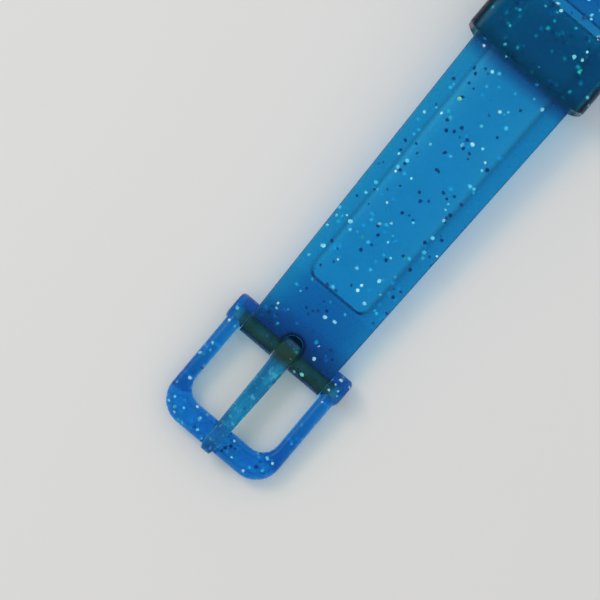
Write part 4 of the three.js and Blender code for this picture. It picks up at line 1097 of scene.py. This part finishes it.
lens_clear = clear_plastic(
    "lens_clear",
    lost=(0.012, 0.006, 0.004),
    tints=((0.98, 0.99, 1.0), (0.99, 0.995, 1.0)),
    streak_mm=9,
    dents_mm=0.004,
    gloss=(0.03, 0.05),
    shine=WHITE,
)
dome_radius = np.linspace(LENS_RADIUS, 0, DOME_STEPS)
dome_height = case_top + LENS_EDGE_HEIGHT + LENS_DOME * (1 - (dome_radius / LENS_RADIUS) ** 2)
dome = np.column_stack([dome_radius, dome_height])
lens_profile = np.concatenate([[(0, case_top), (LENS_RADIUS, case_top)], dome])
lens = skin("lens_dome", turned_z(lens_profile), capped=False)
dressed(lens, "case", "lens_clear", lens_clear, "lens")

# %% [markdown]
# A button is a turned cap on a stem. The cap's rim is round and its face is slightly hollow, so that a
# fingertip finds it. Both buttons come from one profile, drawn for the right and turned round for the left.

# %% Buttons
CAP_INNER = 16.6
CAP_LENGTH = 1.6
CAP_RADIUS = 2.2
CAP_EDGE = 0.6
CAP_HOLLOW = 0.18
HOLLOW_RADIUS = 1.2
HOLLOW_MIDDLE = 0.7
STEM_RADIUS = 1.1
NECK_RADIUS = 0.7
NECK_ROOM = 0.15


def button_profile(name, side):
    """Half section of a button along X, from the tip of its stem to the hollow of its cap."""
    stem_tip = np.abs(np.array([corner.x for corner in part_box(f"{name}_button")])).min() / MM
    ring = np.abs(np.array([corner.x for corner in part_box(f"{name}_retainer")])) / MM
    near, far = ring.min() - NECK_ROOM, ring.max() + NECK_ROOM
    end = CAP_INNER + CAP_LENGTH
    neck = [(near, STEM_RADIUS), (near, NECK_RADIUS), (far, NECK_RADIUS), (far, STEM_RADIUS)]
    rim = [(CAP_INNER, STEM_RADIUS), (CAP_INNER, CAP_RADIUS), (end, CAP_RADIUS), (end, HOLLOW_RADIUS)]
    hollow = [(end - CAP_HOLLOW / 2, HOLLOW_MIDDLE), (end - CAP_HOLLOW, 0.0)]
    profile = np.array([(stem_tip, 0), (stem_tip, STEM_RADIUS), *neck, *eased(rim, CAP_EDGE), *hollow])
    return profile * [side, 1]


buttons = {}
for name, side in (("set", 1), ("mode", -1)):
    rows = turned_x(button_profile(name, side), button_axis)
    buttons[name] = skin(f"{name}_cap", rows, capped=False)
    dressed(buttons[name], f"{name}_button", "glitter_plastic", buckle_plastic, f"{name}_button")

# %% [markdown]
# Pins are steel that has seen water, so it is dull and brown; seen through the plastic it darkens the
# strap's end, and painted shade in the strap's finish deepens that into a dark green band. Outside the
# strap a pin is brighter.

# %% Pins
PIN_RADIUS = 0.75
PIN_EDGE = 0.15
BRIGHT_END = 0.5  # a pin is bright from just inside the strap outwards
BRIGHT_FADE = 0.3
BRIGHT_STEEL = (0.36, 0.38, 0.40)
RUST_TONES = ((0.10, 0.085, 0.06), (0.18, 0.155, 0.115))
RUST_PATCH = (1.4, 4)
RUST_GLOSS = (0.8, 0.65)
RUST_SPECULAR = 0.1
RUST_IN_EARS = 1.4  # how far past the strap the buckle pin is still brown


def dull_steel(name, half_mm):
    """Pin steel, dull and brown along the middle where it sits in the strap, and brighter beyond half_mm."""

    def bright_ends(tree, brown):
        """Brown near the middle, and bright steel beyond."""
        aside = calc(tree, "ABSOLUTE", place_parts(tree)[0])
        return mixed(tree, step_below(tree, aside, half_mm * MM, BRIGHT_FADE * MM), BRIGHT_STEEL, brown)

    look = {"span": WIDE_SPAN, "specular": RUST_SPECULAR, "shade": bright_ends}
    return solid_finish(name, RUST_PATCH, RUST_TONES, RUST_GLOSS, **look)


def pin_piece(node, body, dull_width):
    """A pin with eased ends in the place of its solid."""
    half = reach(node)[0] / 2
    profile = eased([(-half, 0), (-half, PIN_RADIUS), (half, PIN_RADIUS), (half, 0)], PIN_EDGE)
    pin = skin(f"{node}_round", turned_x(profile, middle(node)), capped=False)
    dressed(pin, body, "steel", dull_steel(f"{node}_steel", dull_width / 2 - BRIGHT_END), node)


pin_piece("buckle_pin", "buckle", STRAP_END_WIDTH + 2 * RUST_IN_EARS)
pin_piece("buckle_side_lug_pin", "case", STRAP_LUG_WIDTH)
pin_piece("hole_side_lug_pin", "case", STRAP_LUG_WIDTH)

# %% [markdown]
# The back and its screws are brushed steel: a noise that is stretched along X drives both the roughness and
# a very fine relief. Each screw sits in a seat cut into the back and has a cross cut into its head.

# %% Back and screws
BACK_EDGE = 0.15
SCREW_COUNT = 4
SCREW_RADIUS = 1.3
SCREW_SUNK = 0.1
SCREW_HEAD = 0.6
SCREW_SHANK = 0.7
SCREW_TIP = 5.0
SCREW_EDGE = 0.12
SCREW_SEAT = 1.45
SHANK_ROOM = 0.15
CROSS_LONG = 0.95
CROSS_HALF = 0.175
CROSS_DEPTH = 0.4

steel = solid_finish(
    "brushed_steel",
    cloud=(0.12, 4, (0.02, 1, 1)),
    tones=((0.46, 0.47, 0.48), (0.62, 0.63, 0.64)),
    gloss=(0.24, 0.42),
    relief_mm=0.004,
    metal=1,
)
screw_nodes = [f"back_screw_{i + 1}" for i in range(SCREW_COUNT)]
screw_places = [middle(node) * [1, 1, 0] for node in screw_nodes]
head_top = SCREW_SUNK + SCREW_HEAD


def bore_z(radius, high, place):
    """A plain round bar from below the back up to a height, used to cut a seat."""
    return skin("seat", turned_z([(radius, -CUT_BEYOND), (radius, high)], place, ROUND_STEPS))


def screw_piece(node, place):
    """A flat-headed screw with a cross cut into its head."""
    profile = [(0, SCREW_SUNK), (SCREW_RADIUS, SCREW_SUNK), (SCREW_RADIUS, head_top), (SCREW_SHANK, head_top)]
    profile += [(SCREW_SHANK, SCREW_TIP - SCREW_SHANK), (0, SCREW_TIP)]
    screw = skin(f"{node}_head", turned_z(eased(profile, SCREW_EDGE), place, ROUND_STEPS), capped=False)
    cuts = []
    for x, y in ((CROSS_LONG, CROSS_HALF), (CROSS_HALF, CROSS_LONG)):
        cuts.append(skin("cut", box_rows((-x, -y, -CUT_BEYOND), (x, y, CROSS_DEPTH)) + place))
    carved(screw, cuts, "DIFFERENCE")
    dressed(screw, "case", "steel", steel, node)


back_radius = reach("case_back")[0] / 2
back_rim = [(back_radius - BACK_PROUD, 0), (back_radius, BACK_PROUD), (back_radius, back_top)]
back_profile = eased([(0, 0), *back_rim, (0, back_top)], BACK_EDGE)
back = skin("back_plate", turned_z(back_profile), capped=False)
seats = []
for place in screw_places:
    seats.append(bore_z(SCREW_SEAT, head_top, place))
    seats.append(bore_z(SCREW_SHANK + SHANK_ROOM, back_top + CUT_BEYOND, place))
carved(back, seats, "DIFFERENCE")
dressed(back, "case", "steel", steel, "case_back")
for node, place in zip(screw_nodes, screw_places):
    screw_piece(node, place)

# %% [markdown]
# Behind the lens lies a printed sheet with a window. The print is made by nodes from the distance and the
# angle about the middle: a ring, twelve dots and a pale ground. A drawing would need a picture file; a
# formula stays crisp at any size.

# %% Printed sheet
RING_RADIUS = 10.2
RING_HALF = 0.22
RING_INK = (0.02, 0.16, 0.45)
DOT_RING = 8.95
DOT_RADIUS = 0.42
DOT_COUNT = 12
DOT_INK = (0.93, 0.95, 0.97)
PRINT_FADE = 0.03
SHEET_TONES = ((0.50, 0.76, 0.90), (0.68, 0.87, 0.95))
SHEET_CLOUD = (3.5, 5)


def printed(tree, ground):
    """A ring and dots printed on a ground, worked out from radius and angle in the watch's plane."""
    x, y, _ = place_parts(tree)
    radius = hypotenuse(tree, x, y)
    off_ring = calc(tree, "ABSOLUTE", calc(tree, "SUBTRACT", radius, RING_RADIUS * MM))
    ring = step_below(tree, off_ring, RING_HALF * MM, PRINT_FADE * MM)
    off_angle = calc(tree, "PINGPONG", calc(tree, "ARCTAN2", y, x), math.pi / DOT_COUNT)
    along = calc(tree, "MULTIPLY", off_angle, DOT_RING * MM)
    outwards = calc(tree, "SUBTRACT", radius, DOT_RING * MM)
    dots = step_below(tree, hypotenuse(tree, along, outwards), DOT_RADIUS * MM, PRINT_FADE * MM)
    return mixed(tree, dots, mixed(tree, ring, ground, RING_INK), DOT_INK)


sheet = solid_finish("printed_sheet", SHEET_CLOUD, SHEET_TONES, gloss=0.45, span=WIDE_SPAN, shade=printed)
nodes["face_mask"].material_slots[0].material = sheet
print("printed sheet:", DOT_COUNT, "dots")

# %% [markdown]
# Under the sheet lies the display. The time is a row of seven-part figures, each part a thin dark leaf just
# above the glass. A part is a bar with pointed ends, so six corners describe it, and the dots of the colon
# have six too.

# %% Display and figures
FIGURE_WIDTH = 2.2
FIGURE_HEIGHT = 5.4
FIGURE_GAP = 0.55
FIGURE_LEAN = 0.1
FIGURE_THICKNESS = 0.03
FIGURE_LIFT = 0.01
SEGMENT = 0.52
SEGMENT_GAP = 0.12
COLON_WIDTH = 1.2
COLON_HEIGHT = 1.2
COLON_RADIUS = SEGMENT / 1.7
PART_CORNERS = 6
LIT = {"0": "abcdef", "1": "bc", "5": "acdfg", "8": "abcdefg"}
SHOWN = "10:58"


def segment_outline(kind):
    """Six corners of one part of a figure about the figure's middle: a bar with pointed ends."""
    w, h, t = FIGURE_WIDTH / 2, FIGURE_HEIGHT / 4, SEGMENT / 2
    level = {"a": 2 * h, "g": 0, "d": -2 * h}
    upright = {"b": (w, h), "c": (w, -h), "e": (-w, -h), "f": (-w, h)}
    x, y = upright.get(kind) or (0, level[kind])
    long = (h if kind in upright else w) - SEGMENT_GAP
    bar = np.array([(-long, 0), (t - long, -t), (long - t, -t), (long, 0), (long - t, t), (t - long, t)])
    if kind in upright:
        bar = bar[:, ::-1] * [-1, 1]
    return bar + [x, y * (1 - t / (2 * h))]


def sign_outlines(sign):
    """The dark parts of a figure or of the colon."""
    if sign == ":":
        return [COLON_RADIUS * circle(PART_CORNERS) + [0, y] for y in (-COLON_HEIGHT, COLON_HEIGHT)]
    return [segment_outline(kind) for kind in LIT[sign]]


def figure_outlines():
    """All dark parts of the display, from left to right, leaned over a little."""
    widths = [COLON_WIDTH if sign == ":" else FIGURE_WIDTH + SEGMENT + FIGURE_GAP for sign in SHOWN]
    starts = np.concatenate([[0], np.cumsum(widths)])
    outlines = []
    for sign, start, width in zip(SHOWN, starts, widths):
        centre = start + width / 2 - starts[-1] / 2
        outlines += [part + [centre, 0] for part in sign_outlines(sign)]
    plan = np.array(outlines)
    plan[..., 0] += FIGURE_LEAN * plan[..., 1]
    return plan


figure_ink = solid_finish(
    "figure_ink", cloud=(2,), tones=((0.012, 0.016, 0.014), (0.025, 0.032, 0.027)), gloss=0.35
)
display_finish = solid_finish(
    "display_glass", cloud=(6,), tones=((0.36, 0.41, 0.34), (0.42, 0.47, 0.39)), gloss=(0.18, 0.24)
)
leaf_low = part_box("display_glass")[1].z / MM + FIGURE_LIFT
leaves = np.stack([prism(part, leaf_low, leaf_low + FIGURE_THICKNESS) for part in figure_outlines()])
number = np.arange(leaves.size // 3).reshape(-1, 2, PART_CORNERS)
beside = np.roll(number, -1, axis=-1)
walls = np.stack([number[:, 0], beside[:, 0], beside[:, 1], number[:, 1]], axis=-1)
leaf_faces = walls.reshape(-1, 4).tolist() + number[:, 0, ::-1].tolist() + number[:, 1].tolist()
figures = filled("figures", leaves.reshape(-1, 3), leaf_faces)
dressed(figures, "case", "display", figure_ink)
nodes["display_glass"].material_slots[0].material = display_finish

# %% [markdown]
# The rest of the module shows faintly through the case and the back of the lens: white moulded plastic, a
# green board with copper lines, black resin and rubber, spring brass. These solids stay as they are and get
# their finish.

# %% Module finishes
BLACK_TONES = ((0.012, 0.012, 0.013), (0.03, 0.03, 0.032))
BLACK_GRAIN = (0.4, 4)
BOARD_TONES = ((0.02, 0.16, 0.06), (0.07, 0.30, 0.12))
BOARD_SPAN = (0.75, 0.85)
BOARD_LINES = 260
BOARD_BEND = 3
BOARD_ROUGHNESS = 0.4


def board_green():
    """Solder mask over copper lines: a wave pattern bent by noise."""
    material, tree, shader, _ = fresh("board_green")
    place = new_node(tree, "TexCoord", "Object")
    inputs = {"Vector": place, "Scale": BOARD_LINES, "Distortion": BOARD_BEND}
    colour = ramp(tree, new_node(tree, "TexWave", "Fac", inputs), *zip(BOARD_SPAN, BOARD_TONES))
    feed(tree, shader, {"Base Color": colour, "Roughness": BOARD_ROUGHNESS})
    return material


white = solid_finish(
    "moulded_white",
    cloud=(4,),
    tones=((0.78, 0.79, 0.79), (0.86, 0.86, 0.86)),
    gloss=(0.4, 0.6),
    grain=(0.25, 4),
    relief_mm=0.01,
)
resin = solid_finish("black_resin", cloud=BLACK_GRAIN, tones=BLACK_TONES, gloss=(0.25, 0.4))
rubber = solid_finish("black_rubber", cloud=BLACK_GRAIN, tones=BLACK_TONES, gloss=(0.65, 0.85))
brass = solid_finish(
    "spring_brass",
    cloud=(0.2, 3, (0.1, 1, 1)),
    tones=((0.62, 0.44, 0.17), (0.74, 0.56, 0.26)),
    gloss=(0.25, 0.4),
    metal=1,
)
finishes = {
    white: ["module_frame"],
    board_green(): ["circuit_board"],
    resin: ["chip_blob"],
    rubber: ["zebra_strip_upper", "zebra_strip_lower", "back_gasket"],
    brass: ["battery_clip", "negative_leaf", "set_switch_leaf", "mode_switch_leaf"],
    steel: ["quartz_can", "button_cell", "set_retainer", "mode_retainer"],
}
for finish, names in finishes.items():
    for node in names:
        nodes[node].material_slots[0].material = finish
print("module finishes:", sum(map(len, finishes.values())), "solids")

# %% [markdown]
# Glitter is cut foil, about half a millimetre across, mixed into the plastic before it is moulded. It lies
# inside, so each flake is a real six-sided leaf, turned a little out of the nearest surface, and more of
# them are kept close under the skin, where they show. Silver, cyan and lime flakes catch the light. The
# navy ones are painted shade: dark copies that stand for flakes turned away from the light. A flake is
# kept only if all its corners are inside the plastic.

# %% Glitter
GLITTER_SEED = 12
FLAKE_SIDES = 6
FLAKE_TILT = 0.32
FLAKE_UNEVEN = (0.68, 1.15)
TRIES_PER_FLAKE = 4
SPARE = 2  # twice as many flakes are drawn as are kept
LEAST_COVER = 0.06  # plastic over every corner of a flake
SHALLOW = 0.3
DEEP_SHARE = 0.4  # of the flakes deeper than SHALLOW, how many are kept
FOIL_DULL = 0.7
FOIL_PATCH = (0.9,)
FOIL_CREASE = (0.12,)
FOIL_SPAN = (0.35, 0.55)
# Shares of silver, cyan, lime and navy foil, here and in BRIGHT_SHARES; navy is painted shade.
FOIL_SHARES = (0.42, 0.18, 0.05, 0.35)
BRIGHT_SHARES = (0.58, 0.26, 0.04, 0.12)
FOILS = (
    ("foil_silver", (0.97, 0.98, 1.0), 0.25),
    ("foil_cyan", (0.5, 0.93, 1.0), 0.25),
    ("foil_lime", (0.9, 0.97, 0.45), 0.25),
    # The navy foil is painted shade for flakes turned from the light.
    ("foil_navy_painted_shade", (0.004, 0.05, 0.22), 0.35),
)
rng = np.random.default_rng(GLITTER_SEED)


def foil(name, colour, roughness):
    """Coated foil: a noise as wide as a flake makes some a little duller, and a fine one creases them."""
    tones = (tuple(FOIL_DULL * c for c in colour), colour)
    gloss = (roughness, 2 * roughness)
    return solid_finish(name, FOIL_PATCH, tones, gloss, grain=FOIL_CREASE, span=FOIL_SPAN)


foils = [foil(*kind) for kind in FOILS]


def nearest(piece, points):
    """How deep each point lies under the nearest face (below 0 is outside), and that face's normal."""
    hits = [piece.closest_point_on_mesh(Vector(point * MM)) for point in points]
    place = np.array([hit[1] for hit in hits]) / MM
    normal = np.array([hit[2] for hit in hits])
    return ((place - points) * normal).sum(axis=-1), normal


def scattered(piece, count):
    """Random points inside a closed piece, drawn in its box, with the normals of the nearest faces."""
    corners = np.array(piece.bound_box) / MM
    spots, normals, found = [], [], 0
    while found < count:
        tries = rng.uniform(corners.min(axis=0), corners.max(axis=0), (TRIES_PER_FLAKE * count, 3))
        depth, normal = nearest(piece, tries)
        kept = (depth > LEAST_COVER) & ((depth < SHALLOW) | (rng.uniform(size=len(tries)) < DEEP_SHARE))
        spots.append(tries[kept])
        normals.append(normal[kept])
        found += len(spots[-1])
    return np.concatenate(spots)[:count], np.concatenate(normals)[:count]


def glitter(piece, name, body, count, size, shares):
    """Flakes inside a piece. Corner k: centre + r_k (cos(60 k) t + sin(60 k) b), with r_k a little uneven."""
    drawn = SPARE * count
    centre, normal = scattered(piece, drawn)
    axis = unit(normal + FLAKE_TILT * rng.normal(size=normal.shape))
    first = unit(np.cross(axis, rng.normal(size=axis.shape)))
    second = np.cross(axis, first)
    cos, sin = circle(FLAKE_SIDES).T[..., None]
    half = rng.uniform(*size, (drawn, 1, 1)) / 2
    radius = half * rng.uniform(*FLAKE_UNEVEN, (drawn, FLAKE_SIDES, 1))
    corner = centre[:, None] + radius * (cos * first[:, None] + sin * second[:, None])
    cover = nearest(piece, corner.reshape(-1, 3))[0].reshape(-1, FLAKE_SIDES)
    corner = corner[cover.min(axis=1) > LEAST_COVER][:count]
    leaves = np.arange(len(corner) * FLAKE_SIDES).reshape(-1, FLAKE_SIDES)
    mesh = bpy.data.meshes.new(name)
    mesh.from_pydata((corner.reshape(-1, 3) * MM).tolist(), [], leaves.tolist())
    kinds = rng.choice(len(foils), len(leaves), p=shares).astype(np.int32)
    for finish in foils:
        mesh.materials.append(finish)
    mesh.polygons.foreach_set("material_index", kinds)
    flakes = placed(name, mesh)
    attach(flakes, body)
    print(name, len(leaves), "flakes")


GLITTER = (  # piece, name, body, slot, number of flakes, their least and greatest width, shares of the foils
    (buckle_strap, "buckle_strap", "buckle_strap", "strap_jelly", 480, (0.32, 0.62), FOIL_SHARES),
    (hole_strap, "hole_strap", "hole_strap", "strap_jelly", 580, (0.32, 0.62), FOIL_SHARES),
    (keeper, "keeper", "keeper", "strap_jelly", 48, (0.3, 0.6), FOIL_SHARES),
    (buckle, "buckle", "buckle", "glitter_plastic", 180, (0.3, 0.6), BRIGHT_SHARES),
    (prong, "prong", "prong", "glitter_plastic", 24, (0.22, 0.42), BRIGHT_SHARES),
    (case, "case", "case", "glitter_plastic", 420, (0.3, 0.56), FOIL_SHARES),
    (bezel, "bezel", "case", "glitter_plastic", 120, (0.3, 0.5), FOIL_SHARES),
    (buttons["set"], "set", "set_button", "glitter_plastic", 10, (0.25, 0.45), FOIL_SHARES),
    (buttons["mode"], "mode", "mode_button", "glitter_plastic", 10, (0.25, 0.45), FOIL_SHARES),
)
for piece, name, body, slot, count, size, shares in GLITTER:
    glitter(piece, f"{name}_glitter", body, count, size, shares)

# %% [markdown]
# The watch lies on a plain pale table, a matt surface with very faint clouds.

# %% Table
FLOOR_HALF = 2.0
FLOOR_COLOUR = (0.70, 0.70, 0.69)
FLOOR_CLOUD = 1.015  # how much lighter a cloud is

floor_tones = (FLOOR_COLOUR, tuple(FLOOR_CLOUD * c for c in FLOOR_COLOUR))
table_finish = solid_finish("table", cloud=(90,), tones=floor_tones, gloss=0.65, specular=0.2)
floor_mesh = bpy.data.meshes.new("table")
floor_corners = [(x * FLOOR_HALF, y * FLOOR_HALF, 0) for x, y in ((-1, -1), (1, -1), (1, 1), (-1, 1))]
floor_mesh.from_pydata(floor_corners, [], [(0, 1, 2, 3)])
floor_mesh.materials.append(table_finish)
floor = placed("table", floor_mesh)
print("table:", 2 * FLOOR_HALF, "m wide")

# %% [markdown]
# One broad soft lamp stands on the set-button side, so the shadows fall to the other side of the strap. An
# even sky fills them. The sky that rays see is kept apart from the light that it gives: straight above it
# is darker, so that the clear plastic keeps its depth and doesn't mirror a white ceiling.

# %% Sky and lamp
SKY_SEEN = ((0.55, (0.80, 0.80, 0.80)), (0.85, (0.5, 0.5, 0.5)), (0.98, (0.2, 0.2, 0.2)))
SKY_RAYS = ("Is Camera Ray", "Is Glossy Ray", "Is Transmission Ray")
SKY_LIGHT = 0.76
LAMP_TURN = math.radians(-6)
LAMP_RISE = math.radians(48)
LAMP_DISTANCE = 0.6
LAMP_SIZE = 0.24
LAMP_POWER = 1.08
VIEW_CENTRE = np.array([2.79, 74.59, 2.5])

world = bpy.data.worlds.new("sky")
bpy.context.scene.world = world
world.use_nodes = True
sky = world.node_tree
sky.nodes.clear()
giving = new_node(sky, "Background", 0, {"Color": WHITE, "Strength": SKY_LIGHT})
showing = new_node(sky, "Background", 0, {"Color": ramp(sky, place_parts(sky, "Generated")[2], *SKY_SEEN)})
both = by_ray(sky, SKY_RAYS, giving, showing)
feed(sky, sky.nodes.new("ShaderNodeOutputWorld"), {"Surface": both})

lamp_data = bpy.data.lights.new("lamp", "AREA")
lamp_data.shape = "DISK"
lamp_data.size = LAMP_SIZE
lamp_data.energy = LAMP_POWER
lamp = placed("lamp", lamp_data)
lamp_plan = math.cos(LAMP_RISE)
lamp_way = Vector((lamp_plan * math.cos(LAMP_TURN), lamp_plan * math.sin(LAMP_TURN), math.sin(LAMP_RISE)))
lamp.location = Vector(VIEW_CENTRE * MM) + lamp_way * LAMP_DISTANCE
lamp.visible_transmission = False
lamp.rotation_mode = "QUATERNION"
lamp.rotation_quaternion = lamp_way.to_track_quat("Z", "Y")
print("lamp:", LAMP_SIZE, "m wide,", LAMP_POWER, "W")

# %% [markdown]
# The photograph looks almost straight down at the buckle end, with the strap running up to the right. The
# camera stands a little towards the buckle, so that the front wall of the keeper shows.

# %% Camera
VIEW_WIDTH = 70.6  # millimetres of table across the picture
VIEW_DISTANCE = 300.0
VIEW_LEAN = math.radians(3.5)
PICTURE_RIGHT = Vector((-0.7644, -0.6448, 0.0))
SENSOR_WIDTH = 36.0
CLIP_START = 0.01

lean = Vector((0.0, math.sin(VIEW_LEAN), math.cos(VIEW_LEAN)))
right = (PICTURE_RIGHT - lean * PICTURE_RIGHT.dot(lean)).normalized()
up = lean.cross(right)
camera_data = bpy.data.cameras.new("camera")
camera_data.sensor_width = SENSOR_WIDTH
camera_data.lens = SENSOR_WIDTH * VIEW_DISTANCE / VIEW_WIDTH
camera_data.clip_start = CLIP_START
camera = placed("camera", camera_data)
turn = Matrix((right, up, lean)).transposed().to_4x4()
camera.matrix_world = Matrix.Translation(Vector(VIEW_CENTRE * MM) + lean * VIEW_DISTANCE * MM) @ turn
bpy.context.scene.camera = camera
bpy.context.scene.view_settings.view_transform = "Standard"
print("camera:", round(camera_data.lens, 1), "mm lens")
